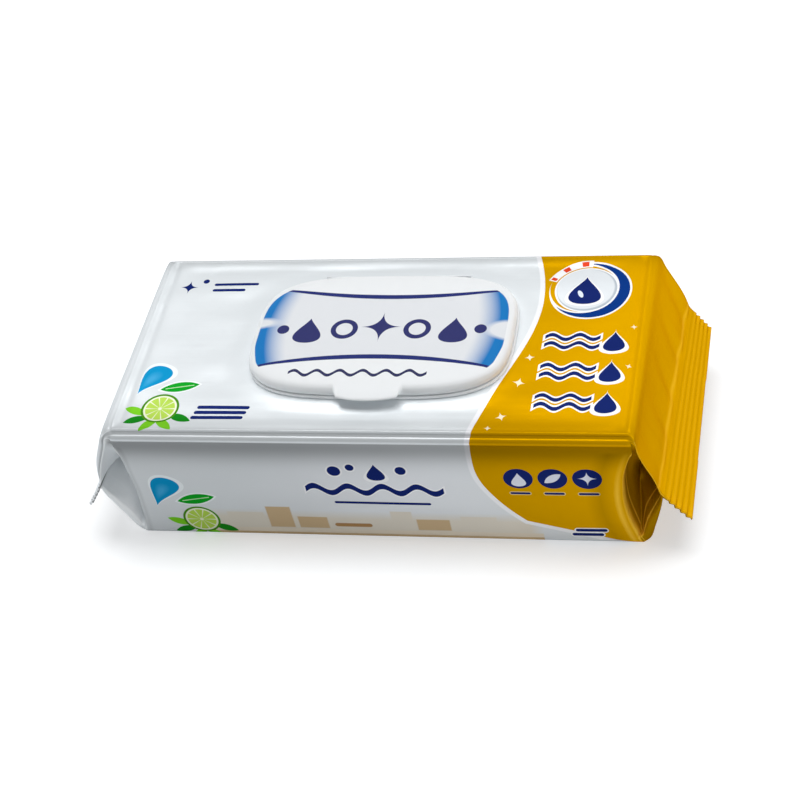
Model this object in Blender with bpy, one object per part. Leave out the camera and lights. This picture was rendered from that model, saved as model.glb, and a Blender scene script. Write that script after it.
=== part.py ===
"""Wet wipes pack: a gusseted film bag with a moulded flip-top lid over its dispensing opening.

Metres, +Z up. X runs along the pack, the lid's thumb tab points to -Y and the hinge lies along its +Y
edge. The origin is the middle of the underside. Each end of the bag is the other end turned half round
about Z, as the film leaves the sealing jaws slightly skewed.
"""
import math

import bpy
import numpy as np

# Film bag
PACK_LENGTH = 0.1992           # between the creases at the two ends of the top face
PACK_WIDTH = 0.0997            # across the top face, at its edges
PACK_HEIGHT = 0.059
HALF_LENGTH = PACK_LENGTH / 2
HALF_WIDTH = PACK_WIDTH / 2
SIDE_SWELL = 0.0007            # how far the long sides belly out over the stack of wipes
TOP_EDGE_RADIUS = 0.004
BOTTOM_EDGE_RADIUS = 0.0035
EDGE_BEAD = 0.0003             # the two beads along a top edge stand this proud
EDGE_GROOVE = 0.0004           # and the channel between them is this deep
SEAM_HALF_WIDTH = 0.006        # half the width of the lap seam under the pack
SEAM_GROOVE = 0.0004
SEAM_GROOVE_WIDTH = 0.0005
BLOCK_STATIONS = (-0.092, -0.084, -0.045, 0.0, 0.045, 0.084, 0.092)

# Panels of a tucked end, along the long side from the crease (0) to the fin (1). Each row is x, z and
# how much x grows towards the side where the end is fuller.
TOP_PANEL_KNOTS = (0.0, 0.08, 0.25, 0.5, 0.75, 1.0)
TOP_PANEL = (
    (HALF_LENGTH, PACK_HEIGHT, 0.0),
    (0.1010, 0.0577, 0.0003),
    (0.1026, 0.0513, 0.0011),
    (0.10495, 0.0417, 0.0016),
    (0.10755, 0.0340, 0.0016),
    (0.1101, 0.0289, 0.0017),
)
BOTTOM_PANEL_KNOTS = (0.0, 0.15, 0.38, 0.65, 0.92, 1.0)
BOTTOM_PANEL = (
    (HALF_LENGTH, 0.0, 0.0),
    (0.1026, 0.0030, 0.0002),
    (0.1051, 0.0098, 0.0006),
    (0.1078, 0.0180, 0.0011),
    (0.1098, 0.0250, 0.0016),
    (0.1101, 0.0273, 0.0017),
)
PINCHED_BY = 0.06              # from here on, the top panel's edge is a sharp fold
TOP_SQUARE_FROM = 0.1          # from here on, flap thickness is measured square to the panel
BOTTOM_SQUARE_FROM = 0.3
END_STATIONS = (0.0, 0.04, 0.08, 0.14, 0.2, 0.26, 0.33, 0.41, 0.5, 0.6, 0.7, 0.8, 0.9, 1.0)
FOLDED_EDGE = 0.00035          # thickness of a flap beside the gusset

# The gusset's inner fold, from the crease to the fin: x, depth in from the long side, z
FOLD_KNOTS = (0.0, 0.15, 0.5, 0.7, 1.0)
FOLD = (
    (HALF_LENGTH, -0.0003, 0.0045),
    (0.0989, 0.0030, 0.0090),
    (0.0987, 0.0154, 0.0240),
    (0.1020, 0.0225, 0.0263),
    (0.1102, 0.0280, 0.0276),
)
GUSSET_END = 0.95              # the open gusset stops here, just short of the fin
GUSSET_REACH = 0.002           # the gusset cutters stick out of the long sides this far
CREASE_SAG = 0.0042            # how far the crease of a tucked corner bows back along the side

# Crimped fin seal
FIN_ROOT = (0.1106, 0.0275)    # x and z of its middle line, half way across the pack
FIN_TIP = (0.1187, 0.0162)
FIN_ROOT_SKEW = (0.0017, 0.0)      # added at one long side and taken off at the other
FIN_TIP_SKEW = (0.0004, 0.0009)
FIN_ROOT_THICKNESS = 0.0019
FIN_TIP_THICKNESS = 0.0008
FIN_OVERLAP = 0.0017           # how far the fin reaches back into the bag
FIN_SIDE_STEP = 0.00015        # the fin is this much narrower than the bag on each side
CRIMP_RIDGES = 7
CRIMP_DEPTH = 0.00035
FIN_STRIPS = 4

# Flip-top lid and its frame: heights are counted from the top of the film, insets from the outline of
# the frame's flange
LID_HALF_LENGTH = 0.0518
LID_HALF_WIDTH = 0.0329
LID_POWER = 3.6                # superellipse exponent of that outline
LID_CENTRE_Y = 0.0010
OPENING_HALF_LENGTH = 0.040
OPENING_HALF_WIDTH = 0.019
OPENING_POWER = 3.0
OPENING_CENTRE_Y = -0.0008
FILM_GAP = 0.0003              # every resting face keeps this gap to the next piece
ROUND = 0.0003                 # small roundings of the mouldings
FLANGE_TOP = 0.0016
LOCATING_WALL_INSET = 0.0026
LOCATING_WALL = 0.0012
LOCATING_WALL_TOP = 0.0043
OPENING_RIM = 0.0013
OPENING_RIM_TOP = 0.0047
CATCH_HALF_LENGTH = 0.008
CATCH_DEPTH = 0.0003
FRAME_CATCH_HEIGHT = 0.0036
LID_CATCH_HEIGHT = 0.00255
CATCH_CREST = 0.0002           # half the height of a catch's flat crest
CATCH_FOOT = 0.0005            # half its height at the foot
LID_SKIRT_INSET = 0.0005
LID_SKIRT_FOOT = 0.0020
LID_WALL = 0.0012
LID_TOP = 0.0070
LID_EAVES = 0.0044             # height at which the skirt starts to turn in
SEALING_RING_GAP = 0.0005
SEALING_RING = 0.0010
SEALING_RING_FOOT = 0.0026
# The outside of the lid above the eaves: inset from the skirt, height, and extra inset on the hinge side
LID_SHOULDER = (
    (0.0001, LID_EAVES, 0.0008),
    (0.0004, 0.0054, 0.0016),
    (0.0011, 0.0061, 0.0026),
    (0.0023, 0.0065, 0.0036),
    (0.0060, 0.00665, 0.0036),
)
# The crown of the lid: half length, half width, superellipse exponent and height
LID_CROWN = (
    (0.0300, 0.0180, 3.0, 0.0069),
    (0.0120, 0.0060, 2.0, LID_TOP),
)
OUTLINE_POINTS = 80
OUTLINE_FINE_STEPS = 2880      # an outline's points are spaced evenly along a curve of this many steps

# Hinge line, thumb tab and peel label
HINGE_Y = 0.0338
HINGE_HEIGHT = 0.0018
HINGE_HALF_LENGTH = 0.030
# Section of the hinge bead: y and z from the hinge line
HINGE_BEAD = ((-0.0006, -0.0008), (0.0003, -0.0008), (0.0003, -0.0001), (0.0, 0.0002), (-0.0003, -0.0001))
TAB_HALF_WIDTH = 0.0135
TAB_SECTIONS = 12
TAB_ROUNDING = 0.20            # how much shorter the tab is at its two sides than in the middle
TAB_POWER = 4.0
# Section of the thumb tab: how far out of the skirt, and height
TAB = ((-0.0035, 0.0062), (-0.0010, 0.0064), (0.0014, 0.0061), (0.0034, 0.0053), (0.0047, 0.0041),
       (0.0044, 0.0036), (0.0028, 0.0043), (0.0010, 0.0049), (-0.0035, 0.0051))
LABEL_HALF_LENGTH = 0.033
LABEL_HALF_WIDTH = 0.015
LABEL_POWER = 4.0
LABEL_TAB_RADIUS = 0.0055
LABEL_THICKNESS = 0.0003

SHARP_ANGLE = math.radians(35)
SLIVER = 0.00004               # leftovers of the Boolean steps smaller than this are merged


def clear_scene():
    for old in list(bpy.data.objects):
        bpy.data.objects.remove(old, do_unlink=True)


def make_material(name, colour, roughness, metallic=0.0):
    material = bpy.data.materials.new(name)
    material.use_nodes = True
    shader = material.node_tree.nodes["Principled BSDF"]
    shader.inputs["Base Color"].default_value = (*colour, 1.0)
    shader.inputs["Roughness"].default_value = roughness
    shader.inputs["Metallic"].default_value = metallic
    return material


def add_object(name, vertices, faces, material=None, cutter=False):
    """Put a mesh in the scene, smooth apart from its sharp edges."""
    mesh = bpy.data.meshes.new(name)
    mesh.from_pydata([tuple(v) for v in vertices], [], faces)
    mesh.validate()
    piece = bpy.data.objects.new(name, mesh)
    bpy.context.scene.collection.objects.link(piece)
    if material:
        mesh.materials.append(material)
    mesh.shade_smooth()
    mesh.set_sharp_from_angle(angle=SHARP_ANGLE)
    if cutter:
        piece.hide_render = True
        piece.display_type = "WIRE"
    return piece


def combine(piece, operation, other):
    """Cut another solid out of a piece, or fuse it on."""
    step = piece.modifiers.new(operation.lower() + " " + other.name, "BOOLEAN")
    step.operation = operation
    step.object = other


def close_slivers(piece):
    """Merge the hair-thin leftovers of the Boolean steps."""
    weld = piece.modifiers.new("close slivers", "WELD")
    weld.merge_threshold = SLIVER


def loft(rings, close_ends=True, close_path=False):
    """Vertices and faces of a skin through rings of equal count, each ring closed on itself."""
    rings = np.asarray(rings)
    ring_count, count = rings.shape[:2]
    faces = []
    for a in range(ring_count if close_path else ring_count - 1):
        b = (a + 1) % ring_count
        for j in range(count):
            k = (j + 1) % count
            faces.append((a * count + j, a * count + k, b * count + k, b * count + j))
    if close_ends:
        faces.append(tuple(reversed(range(count))))
        faces.append(tuple(range((ring_count - 1) * count, ring_count * count)))
    return rings.reshape(-1, 3), faces


def smooth_path(knots, points, at):
    """Cubic Hermite curve through points at the given knots, level where a coordinate turns back."""
    knots = np.asarray(knots, float)
    points = np.asarray(points, float)
    slopes = np.gradient(points, knots, axis=0)
    steps = np.diff(points, axis=0)
    slopes[1:-1][steps[:-1] * steps[1:] <= 0] = 0.0
    i = np.clip(np.searchsorted(knots, at, side="right") - 1, 0, len(knots) - 2)
    span = knots[i + 1] - knots[i]
    t = (at - knots[i]) / span
    return ((2 * t**3 - 3 * t**2 + 1) * points[i] + (t**3 - 2 * t**2 + t) * span * slopes[i]
            + (3 * t**2 - 2 * t**3) * points[i + 1] + (t**3 - t**2) * span * slopes[i + 1])


# The film bag

# Shares of the way across each stretch of half a cross-section
BOTTOM_SHARES = np.array([0.0, SEAM_HALF_WIDTH - SEAM_GROOVE_WIDTH, SEAM_HALF_WIDTH,
                          SEAM_HALF_WIDTH + SEAM_GROOVE_WIDTH, PACK_WIDTH / 4]) / HALF_WIDTH
BOTTOM_CORNER = np.linspace(0.0, 1.0, 5)
SIDE = np.linspace(0.0, 1.0, 8)[1:-1]
TOP_CORNER = np.linspace(0.0, 1.0, 7)
TOP_CORNER_PUSH = np.array([0.0, EDGE_BEAD, 0.0, -EDGE_GROOVE, 0.0, EDGE_BEAD, 0.0])
TOP_SHARES = np.array([0.75, 0.5, 0.25, 0.0])
LOWER_GUSSET = np.linspace(0.0, 1.0, 4)
UPPER_GUSSET = np.linspace(0.0, 1.0, 7)[1:]


def corner(point, towards_panel, towards_side, shares, push):
    """A rounded edge: a quadratic curve whose control point is the sharp corner, with beads pushed out."""
    t = shares[:, None]
    curve = point + (1 - t) ** 2 * towards_panel + t ** 2 * towards_side
    outward = -(towards_panel + towards_side)
    outward = outward / np.linalg.norm(outward)
    return curve + push[:, None] * outward


def edge_points(side, station):
    """The sharp corners of a cross-section, top and bottom, on one long side."""
    return [np.array([x + side * skew, side * HALF_WIDTH, z])
            for x, z, skew in (station["top"], station["bottom"])]


def half_ring(side, station):
    """Half a cross-section, from the middle of the bottom to the middle of the top, on one side."""
    top_point, bottom_point = edge_points(side, station)
    inward = np.array([0.0, -side, 0.0])
    middle = np.array([station["bottom"][0], 0.0, station["bottom"][1]])
    floor = middle + BOTTOM_SHARES[:, None] * (bottom_point - middle)
    floor[2, 2] += SEAM_GROOVE * station["block"]
    low_corner = corner(bottom_point, inward * station["low_radius"], station["low_edge"],
                        BOTTOM_CORNER, np.zeros(len(BOTTOM_CORNER)))
    high_corner = corner(top_point, inward * station["high_radius"], station["high_edge"],
                         TOP_CORNER, TOP_CORNER_PUSH * station["block"])[::-1]
    wall = low_corner[-1] + SIDE[:, None] * (high_corner[0] - low_corner[-1])
    wall[:, 1] += side * station["swell"] * np.sin(np.pi * SIDE)
    middle = np.array([station["top"][0], 0.0, station["top"][1]])
    roof = middle + TOP_SHARES[:, None] * (high_corner[-1] - middle)
    return np.vstack([floor, low_corner, wall, high_corner, roof])


def ring(station):
    """A whole cross-section: up the +Y half and down the -Y half."""
    up = half_ring(1, station)
    down = half_ring(-1, station)[::-1]
    return np.vstack([up, down[1:-1]])


def block_station(x):
    """What a cross-section of the square part of the bag needs."""
    return {
        "top": (x, PACK_HEIGHT, 0.0),
        "bottom": (x, 0.0, 0.0),
        "high_radius": TOP_EDGE_RADIUS, "high_edge": np.array([0.0, 0.0, -TOP_EDGE_RADIUS]),
        "low_radius": BOTTOM_EDGE_RADIUS, "low_edge": np.array([0.0, 0.0, BOTTOM_EDGE_RADIUS]),
        "swell": SIDE_SWELL * (1 - (x / HALF_LENGTH) ** 2),
        "block": 1.0,
    }


def into_bag(knots, points, u, upright, square_from):
    """Unit vector from a panel into the bag: upright at the crease, later square to the panel."""
    step = 0.01
    ahead = smooth_path(knots, points, min(u + step, 1.0))[:2]
    behind = smooth_path(knots, points, max(u - step, 0.0))[:2]
    tangent = (ahead - behind) / np.linalg.norm(ahead - behind)
    square = upright * np.array([-tangent[1], 0.0, tangent[0]])
    share = min(u / square_from, 1.0)
    direction = (1 - share) * np.array([0.0, 0.0, upright]) + share * square
    return direction / np.linalg.norm(direction)


def end_station(u):
    """What a cross-section of the +X end needs, from its crease (0) to the root of the fin (1)."""
    fading = max(0.0, 1.0 - u / PINCHED_BY)
    softness = (1 - u) ** 1.5
    into_top = into_bag(TOP_PANEL_KNOTS, TOP_PANEL, u, -1, TOP_SQUARE_FROM)
    into_bottom = into_bag(BOTTOM_PANEL_KNOTS, BOTTOM_PANEL, u, 1, BOTTOM_SQUARE_FROM)
    high_radius = FOLDED_EDGE + (TOP_EDGE_RADIUS - FOLDED_EDGE) * fading
    low_radius = FOLDED_EDGE + (BOTTOM_EDGE_RADIUS - FOLDED_EDGE) * softness
    return {
        "top": smooth_path(TOP_PANEL_KNOTS, TOP_PANEL, u),
        "bottom": smooth_path(BOTTOM_PANEL_KNOTS, BOTTOM_PANEL, u),
        "high_radius": high_radius, "high_edge": TOP_EDGE_RADIUS * fading * into_top,
        "low_radius": low_radius, "low_edge": BOTTOM_EDGE_RADIUS * softness * into_bottom,
        "high_flap": high_radius * into_top,
        "low_flap": low_radius * into_bottom,
        "swell": 0.0,
        "block": fading,
    }


def half_turn(points):
    """The same ring at the other end of the pack, with its points still in the loft's order."""
    turned = points * np.array([-1.0, -1.0, 1.0])
    return np.roll(turned[::-1], 1, axis=0)


def gusset(name, side, end):
    """A cutter for the hollow of a tucked end: along the lower flap to the fold, then the upper flap."""
    outside = np.array([0.0, side * GUSSET_REACH, 0.0])
    rings = []
    for u in END_STATIONS[:-1] + (GUSSET_END,):
        station = end_station(u)
        top_point, bottom_point = edge_points(side, station)
        low = bottom_point + station["low_flap"] + 0.1 * outside
        high = top_point + station["high_flap"] + 0.1 * outside
        fold_x, depth, fold_z = smooth_path(FOLD_KNOTS, FOLD, u)
        skew = side * u ** 2 * (1 - depth / HALF_WIDTH)
        fold = np.array([fold_x + skew * FIN_ROOT_SKEW[0], side * (HALF_WIDTH - depth),
                         fold_z + skew * FIN_ROOT_SKEW[1]])
        flaps = np.vstack([low + LOWER_GUSSET[:, None] * (fold - low),
                           fold + UPPER_GUSSET[:, None] * (high - fold)])
        level = (flaps[:, 2] - bottom_point[2]) / (top_point[2] - bottom_point[2])
        flaps[:, 0] -= CREASE_SAG * (1 - u) ** 1.5 * np.sin(np.pi * np.clip(level, 0.0, 1.0))
        section = np.vstack([low + outside, flaps, high + outside]) * np.array([end, end, 1.0])
        rings.append(section[::-side])
    vertices, faces = loft(rings)
    return add_object(name, vertices, faces, cutter=True)


def fin(name, end):
    """A crimped seal: a zigzag plate that hangs from the root line to the tip line."""
    stations = np.linspace(0.0, 1.0, 2 * CRIMP_RIDGES + 1)
    sections = []
    for skew in np.linspace(-1.0, 1.0, FIN_STRIPS + 1):
        root = np.array(FIN_ROOT) + skew * np.array(FIN_ROOT_SKEW)
        tip = np.array(FIN_TIP) + skew * np.array(FIN_TIP_SKEW)
        along = (tip - root) / np.linalg.norm(tip - root)
        normal = np.array([-along[1], along[0]])
        start = root - along * FIN_OVERLAP
        middle = start + stations[:, None] * (tip - start)
        zigzag = CRIMP_DEPTH * np.where(np.arange(len(stations)) % 2 == 0, -1.0, 1.0)
        zigzag[:2] = 0.0
        half = 0.5 * (FIN_ROOT_THICKNESS + stations * (FIN_TIP_THICKNESS - FIN_ROOT_THICKNESS))
        upper = middle + (zigzag + half)[:, None] * normal
        lower = middle + (zigzag - half)[:, None] * normal
        outline = np.vstack([upper, lower[::-1]])
        y = np.full((len(outline), 1), skew * (HALF_WIDTH - FIN_SIDE_STEP))
        section = np.hstack([outline[:, :1], y, outline[:, 1:]])
        sections.append(section * np.array([end, end, 1.0]))
    vertices, faces = loft(sections)
    return add_object(name, vertices, faces, cutter=True)


def build_film_pack(material):
    """The bag as one skin through its cross-sections, with four gussets cut in and a fin on each end."""
    right = [ring(end_station(u)) for u in END_STATIONS]
    left = [half_turn(points) for points in reversed(right)]
    rings = left + [ring(block_station(x)) for x in BLOCK_STATIONS] + right
    vertices, faces = loft(rings)
    pack = add_object("film_pack", vertices, faces, material)
    for end in (1, -1):
        for side in (1, -1):
            combine(pack, "DIFFERENCE", gusset("gusset", side, end))
        combine(pack, "UNION", fin("fin", end))
    close_slivers(pack)


# Outlines of the moulded parts

def superellipse(half_length, half_width, power, centre_y, height):
    """A ring of evenly spaced points on |x/a|^n + |y/b|^n = 1, at a height above the film."""
    angle = np.linspace(0.0, 2 * np.pi, OUTLINE_FINE_STEPS + 1)
    cosine, sine = np.cos(angle), np.sin(angle)
    x = half_length * np.sign(cosine) * np.abs(cosine) ** (2 / power)
    y = half_width * np.sign(sine) * np.abs(sine) ** (2 / power)
    length = np.concatenate([[0.0], np.cumsum(np.hypot(np.diff(x), np.diff(y)))])
    even = np.linspace(0.0, length[-1], OUTLINE_POINTS, endpoint=False)
    x, y = np.interp(even, length, x), np.interp(even, length, y)
    return np.column_stack([x, y + centre_y, np.full(len(x), PACK_HEIGHT + height)])


def lid_ring(inset, height, lean=0.0):
    """The flange's outline, moved in all round; lean moves the hinge side in further."""
    return superellipse(LID_HALF_LENGTH - inset, LID_HALF_WIDTH - inset - lean / 2, LID_POWER,
                        LID_CENTRE_Y - lean / 2, height)


def opening_ring(outset, height):
    """The dispensing opening's outline, moved out all round."""
    return superellipse(OPENING_HALF_LENGTH + outset, OPENING_HALF_WIDTH + outset, OPENING_POWER,
                        OPENING_CENTRE_Y, height)


def catch_ring(inset, height, push):
    """The flange's outline, moved in, with a shallow bump along Y at the middle of the front."""
    points = lid_ring(inset, height)
    at_catch = (np.abs(points[:, 0]) < CATCH_HALF_LENGTH) & (points[:, 1] < 0)
    points[at_catch, 1] += push
    return points


def build_lid_frame(material):
    """Flange, locating wall with its catch bead, and the rim round the opening, as one closed section."""
    wall = LOCATING_WALL_INSET
    catch = FRAME_CATCH_HEIGHT
    rings = [
        lid_ring(ROUND, FILM_GAP),
        lid_ring(0.0, FILM_GAP + ROUND),
        lid_ring(0.0, FLANGE_TOP - ROUND),
        lid_ring(ROUND, FLANGE_TOP),
        lid_ring(wall, FLANGE_TOP),
        catch_ring(wall, catch - CATCH_FOOT, 0.0),
        catch_ring(wall, catch - CATCH_CREST, -CATCH_DEPTH),
        catch_ring(wall, catch + CATCH_CREST, -CATCH_DEPTH),
        catch_ring(wall, catch + CATCH_FOOT, 0.0),
        lid_ring(wall + ROUND, LOCATING_WALL_TOP),
        lid_ring(wall + LOCATING_WALL - ROUND, LOCATING_WALL_TOP),
        lid_ring(wall + LOCATING_WALL, LOCATING_WALL_TOP - ROUND),
        lid_ring(wall + LOCATING_WALL, FLANGE_TOP),
        opening_ring(OPENING_RIM, FLANGE_TOP),
        opening_ring(OPENING_RIM, OPENING_RIM_TOP - ROUND),
        opening_ring(OPENING_RIM - ROUND, OPENING_RIM_TOP),
        opening_ring(ROUND, OPENING_RIM_TOP),
        opening_ring(0.0, OPENING_RIM_TOP - ROUND),
        opening_ring(0.0, FILM_GAP + ROUND),
        opening_ring(ROUND, FILM_GAP),
    ]
    vertices, faces = loft(rings, close_ends=False, close_path=True)
    frame = add_object("lid_frame", vertices, faces, material)
    section = np.array(HINGE_BEAD) + np.array([HINGE_Y, PACK_HEIGHT + HINGE_HEIGHT])
    ends = [np.column_stack([np.full(len(section), x), section])
            for x in (-HINGE_HALF_LENGTH, HINGE_HALF_LENGTH)]
    combine(frame, "UNION", add_object("hinge_bead", *loft(ends), cutter=True))
    close_slivers(frame)


def thumb_tab():
    """The tongue that carries the lid's top out over the front edge, curved down to its tip."""
    skirt_y = LID_CENTRE_Y - LID_HALF_WIDTH + LID_SKIRT_INSET
    reach, height = np.array(TAB).T
    sections = []
    for share in np.linspace(-1.0, 1.0, TAB_SECTIONS + 1):
        shortening = 1.0 - TAB_ROUNDING * abs(share) ** TAB_POWER
        y = skirt_y - np.where(reach > 0, reach * shortening, reach)
        x = np.full(len(reach), share * TAB_HALF_WIDTH)
        sections.append(np.column_stack([x, y, PACK_HEIGHT + height]))
    return add_object("thumb_tab", *loft(sections), cutter=True)


def build_flip_lid(material, hinge):
    """A shell with a skirt, a domed top and a sealing ring round the rim of the opening."""
    inside = LID_SKIRT_INSET + LID_WALL
    ring_in = OPENING_RIM + SEALING_RING_GAP
    ring_out = ring_in + SEALING_RING
    under = LID_TOP - LID_WALL
    catch = LID_CATCH_HEIGHT
    length, width, power, _ = LID_CROWN[-1]
    rings = [
        superellipse(length, width, power, OPENING_CENTRE_Y, under),
        opening_ring(ring_in, under - ROUND),
        opening_ring(ring_in, SEALING_RING_FOOT + ROUND),
        opening_ring(ring_in + ROUND, SEALING_RING_FOOT),
        opening_ring(ring_out - ROUND, SEALING_RING_FOOT),
        opening_ring(ring_out, SEALING_RING_FOOT + ROUND),
        opening_ring(ring_out, under - ROUND),
        lid_ring(inside + 0.0022, under - 0.0004, 0.0030),
        lid_ring(inside + 0.0006, under - 0.0008, 0.0020),
        lid_ring(inside, LID_EAVES, 0.0010),
        catch_ring(inside, catch + CATCH_FOOT, 0.0),
        catch_ring(inside, catch + CATCH_CREST, CATCH_DEPTH),
        catch_ring(inside, catch - CATCH_CREST, CATCH_DEPTH),
        lid_ring(inside, LID_SKIRT_FOOT),
        lid_ring(LID_SKIRT_INSET + ROUND, LID_SKIRT_FOOT),
        lid_ring(LID_SKIRT_INSET, LID_SKIRT_FOOT + ROUND),
    ]
    rings += [lid_ring(LID_SKIRT_INSET + inset, height, lean) for inset, height, lean in LID_SHOULDER]
    rings += [superellipse(length, width, power, OPENING_CENTRE_Y, height)
              for length, width, power, height in LID_CROWN]
    lid = add_object("flip_lid", *loft(rings), material)
    combine(lid, "UNION", thumb_tab())
    close_slivers(lid)
    lid.data.transform(hinge.matrix_world.inverted())
    lid.parent = hinge


def build_peel_seal(material):
    """The label over the slot: a superellipse with a round pull tab at one end, as one thin plate."""
    angle = np.linspace(0.0, 2 * np.pi, OUTLINE_POINTS, endpoint=False)
    cosine, sine = np.cos(angle), np.sin(angle)
    label = (np.abs(cosine / LABEL_HALF_LENGTH) ** LABEL_POWER
             + np.abs(sine / LABEL_HALF_WIDTH) ** LABEL_POWER) ** (-1 / LABEL_POWER)
    reach = LABEL_TAB_RADIUS ** 2 - (LABEL_HALF_LENGTH * sine) ** 2
    tab = np.where((reach > 0) & (cosine > 0),
                   LABEL_HALF_LENGTH * cosine + np.sqrt(np.maximum(reach, 0.0)), 0.0)
    radius = np.maximum(label, tab)
    x, y = radius * cosine, radius * sine + OPENING_CENTRE_Y
    rings = [np.column_stack([x, y, np.full(len(x), PACK_HEIGHT + z)])
             for z in (FILM_GAP, FILM_GAP + LABEL_THICKNESS)]
    add_object("peel_seal", *loft(rings), material)


def main():
    clear_scene()
    film = make_material("printed_film", (0.80, 0.82, 0.84), 0.28, 0.15)
    plastic = make_material("white_plastic", (0.86, 0.87, 0.88), 0.35)
    label = make_material("label_film", (0.75, 0.80, 0.85), 0.25)
    hinge = bpy.data.objects.new("hinge_axis", None)
    hinge.location = (0.0, HINGE_Y, PACK_HEIGHT + HINGE_HEIGHT)
    bpy.context.scene.collection.objects.link(hinge)
    bpy.context.view_layer.update()
    build_film_pack(film)
    build_peel_seal(label)
    build_lid_frame(plastic)
    build_flip_lid(plastic, hinge)


main()
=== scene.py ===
"""Visual model of a pack of wet wipes: a printed, gusseted film bag with a moulded flip-top lid.

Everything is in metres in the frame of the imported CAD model: X along the pack, the lid's thumb tab
towards -Y, +Z up, and the origin in the middle of the underside.
"""
import functools
import math

import bpy
import numpy as np
from bpy.props import FloatProperty, FloatVectorProperty, IntProperty, PointerProperty
from mathutils import Matrix, Vector


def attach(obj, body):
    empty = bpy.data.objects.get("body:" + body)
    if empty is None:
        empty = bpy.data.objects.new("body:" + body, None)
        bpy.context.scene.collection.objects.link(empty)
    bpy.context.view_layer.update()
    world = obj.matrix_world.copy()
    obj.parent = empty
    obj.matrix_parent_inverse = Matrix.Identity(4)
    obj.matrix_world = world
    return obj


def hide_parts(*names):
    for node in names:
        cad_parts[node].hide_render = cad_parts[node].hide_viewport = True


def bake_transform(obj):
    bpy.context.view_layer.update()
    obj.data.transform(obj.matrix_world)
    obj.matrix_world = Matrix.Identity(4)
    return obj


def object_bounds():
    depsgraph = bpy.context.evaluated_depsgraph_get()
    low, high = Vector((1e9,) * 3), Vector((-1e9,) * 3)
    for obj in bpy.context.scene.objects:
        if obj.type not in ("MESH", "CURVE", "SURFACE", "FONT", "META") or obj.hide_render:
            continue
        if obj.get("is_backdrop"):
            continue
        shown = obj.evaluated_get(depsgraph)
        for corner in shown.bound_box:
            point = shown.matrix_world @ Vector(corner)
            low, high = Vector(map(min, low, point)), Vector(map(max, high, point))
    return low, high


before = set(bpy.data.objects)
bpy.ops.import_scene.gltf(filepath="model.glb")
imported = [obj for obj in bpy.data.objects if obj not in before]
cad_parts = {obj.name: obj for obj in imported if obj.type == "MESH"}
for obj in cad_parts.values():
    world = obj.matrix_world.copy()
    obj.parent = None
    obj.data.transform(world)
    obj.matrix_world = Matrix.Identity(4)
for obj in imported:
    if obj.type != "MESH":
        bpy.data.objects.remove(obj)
CAD_BOX = [list(corner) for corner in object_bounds()]

bl_info = {
    "name": "Wet Wipes Pack",
    "version": (1, 0, 0),
    "blender": (4, 5, 0),
    "location": "3D View > Sidebar > Wipes",
    "description": "Builds a printed film pack of wet wipes with a flip-top lid",
    "category": "Add Mesh",
}

MM = 0.001

# The bag's square part
HALF_LENGTH = 0.0996           # to the crease at each end of the top face
HALF_WIDTH = 0.04985
HEIGHT = 0.059
SIDE_SWELL = 0.0007
TOP_RADIUS = 0.004
BOTTOM_RADIUS = 0.0035
TOP_TO_SEAM = HEIGHT + HALF_WIDTH     # round the girth, from a top edge to the seam under the pack

# Panels of a tucked end, from the crease (0) to the fin (1): x, z and the change of x towards +Y
TOP_KNOTS = (0.0, 0.08, 0.25, 0.5, 0.75, 1.0)
TOP_PANEL = (
    (HALF_LENGTH, HEIGHT, 0.0),
    (0.1010, 0.0577, 0.0003),
    (0.1026, 0.0513, 0.0011),
    (0.10495, 0.0417, 0.0016),
    (0.10755, 0.0340, 0.0016),
    (0.1101, 0.0289, 0.0017),
)
BOTTOM_KNOTS = (0.0, 0.15, 0.38, 0.65, 0.92, 1.0)
BOTTOM_PANEL = (
    (HALF_LENGTH, 0.0, 0.0),
    (0.1026, 0.0030, 0.0002),
    (0.1051, 0.0098, 0.0006),
    (0.1078, 0.0180, 0.0011),
    (0.1098, 0.0250, 0.0016),
    (0.1101, 0.0273, 0.0017),
)
# The gusset's inner fold: x, depth in from the long side, z
FOLD_KNOTS = (0.0, 0.12, 0.35, 0.65, 1.0)
FOLD = (
    (0.0982, 0.0, 0.0045),
    (0.0987, 0.0050, 0.0110),
    (0.0987, 0.0154, 0.0240),
    (0.1015, 0.0225, 0.0263),
    (0.1102, 0.0280, 0.0276),
)
FOLD_DEPTH = 0.028
INNER = 1.0 - FOLD_DEPTH / HALF_WIDTH  # share of half the width that lies inside the gusset's fold
END_LENGTH = 0.0322            # along the film, from the crease to the root of the fin
LEFT_SAG = 0.0012              # how far the tuck's crease bows back along the side, at each end
RIGHT_SAG = 0.0056
EDGE_FLARE = 0.0015            # how far the free edges of a tucked end flare out towards the fin
FLARE_FROM = 0.25              # share of the end where that starts
LIP = 0.0046                   # how far below the rounded top edge the tuck starts
TUCK_TOP = -(TOP_RADIUS + LIP) / MM   # that place, in millimetres over the top edge
LIP_END = 0.30                 # share of the end over which that lip runs out
CREASE_ARCH = 0.8              # below 1, the bow is fuller near its two ends
CREASE_ROLL = 0.0012           # how far the wall rolls in before the crease
CREASE_ROLL_LENGTH = 0.0022
UPPER_TUCK = 0.0045            # how far the gusset's flaps are drawn in behind their edges
LOWER_TUCK = 0.0015
TUCK_START = 0.05
EDGE_PINCH = 0.16              # share of the end over which the rounded top edge becomes a fold
FOLD_EDGE = 0.0004             # radius of a doubled-over film edge

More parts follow.
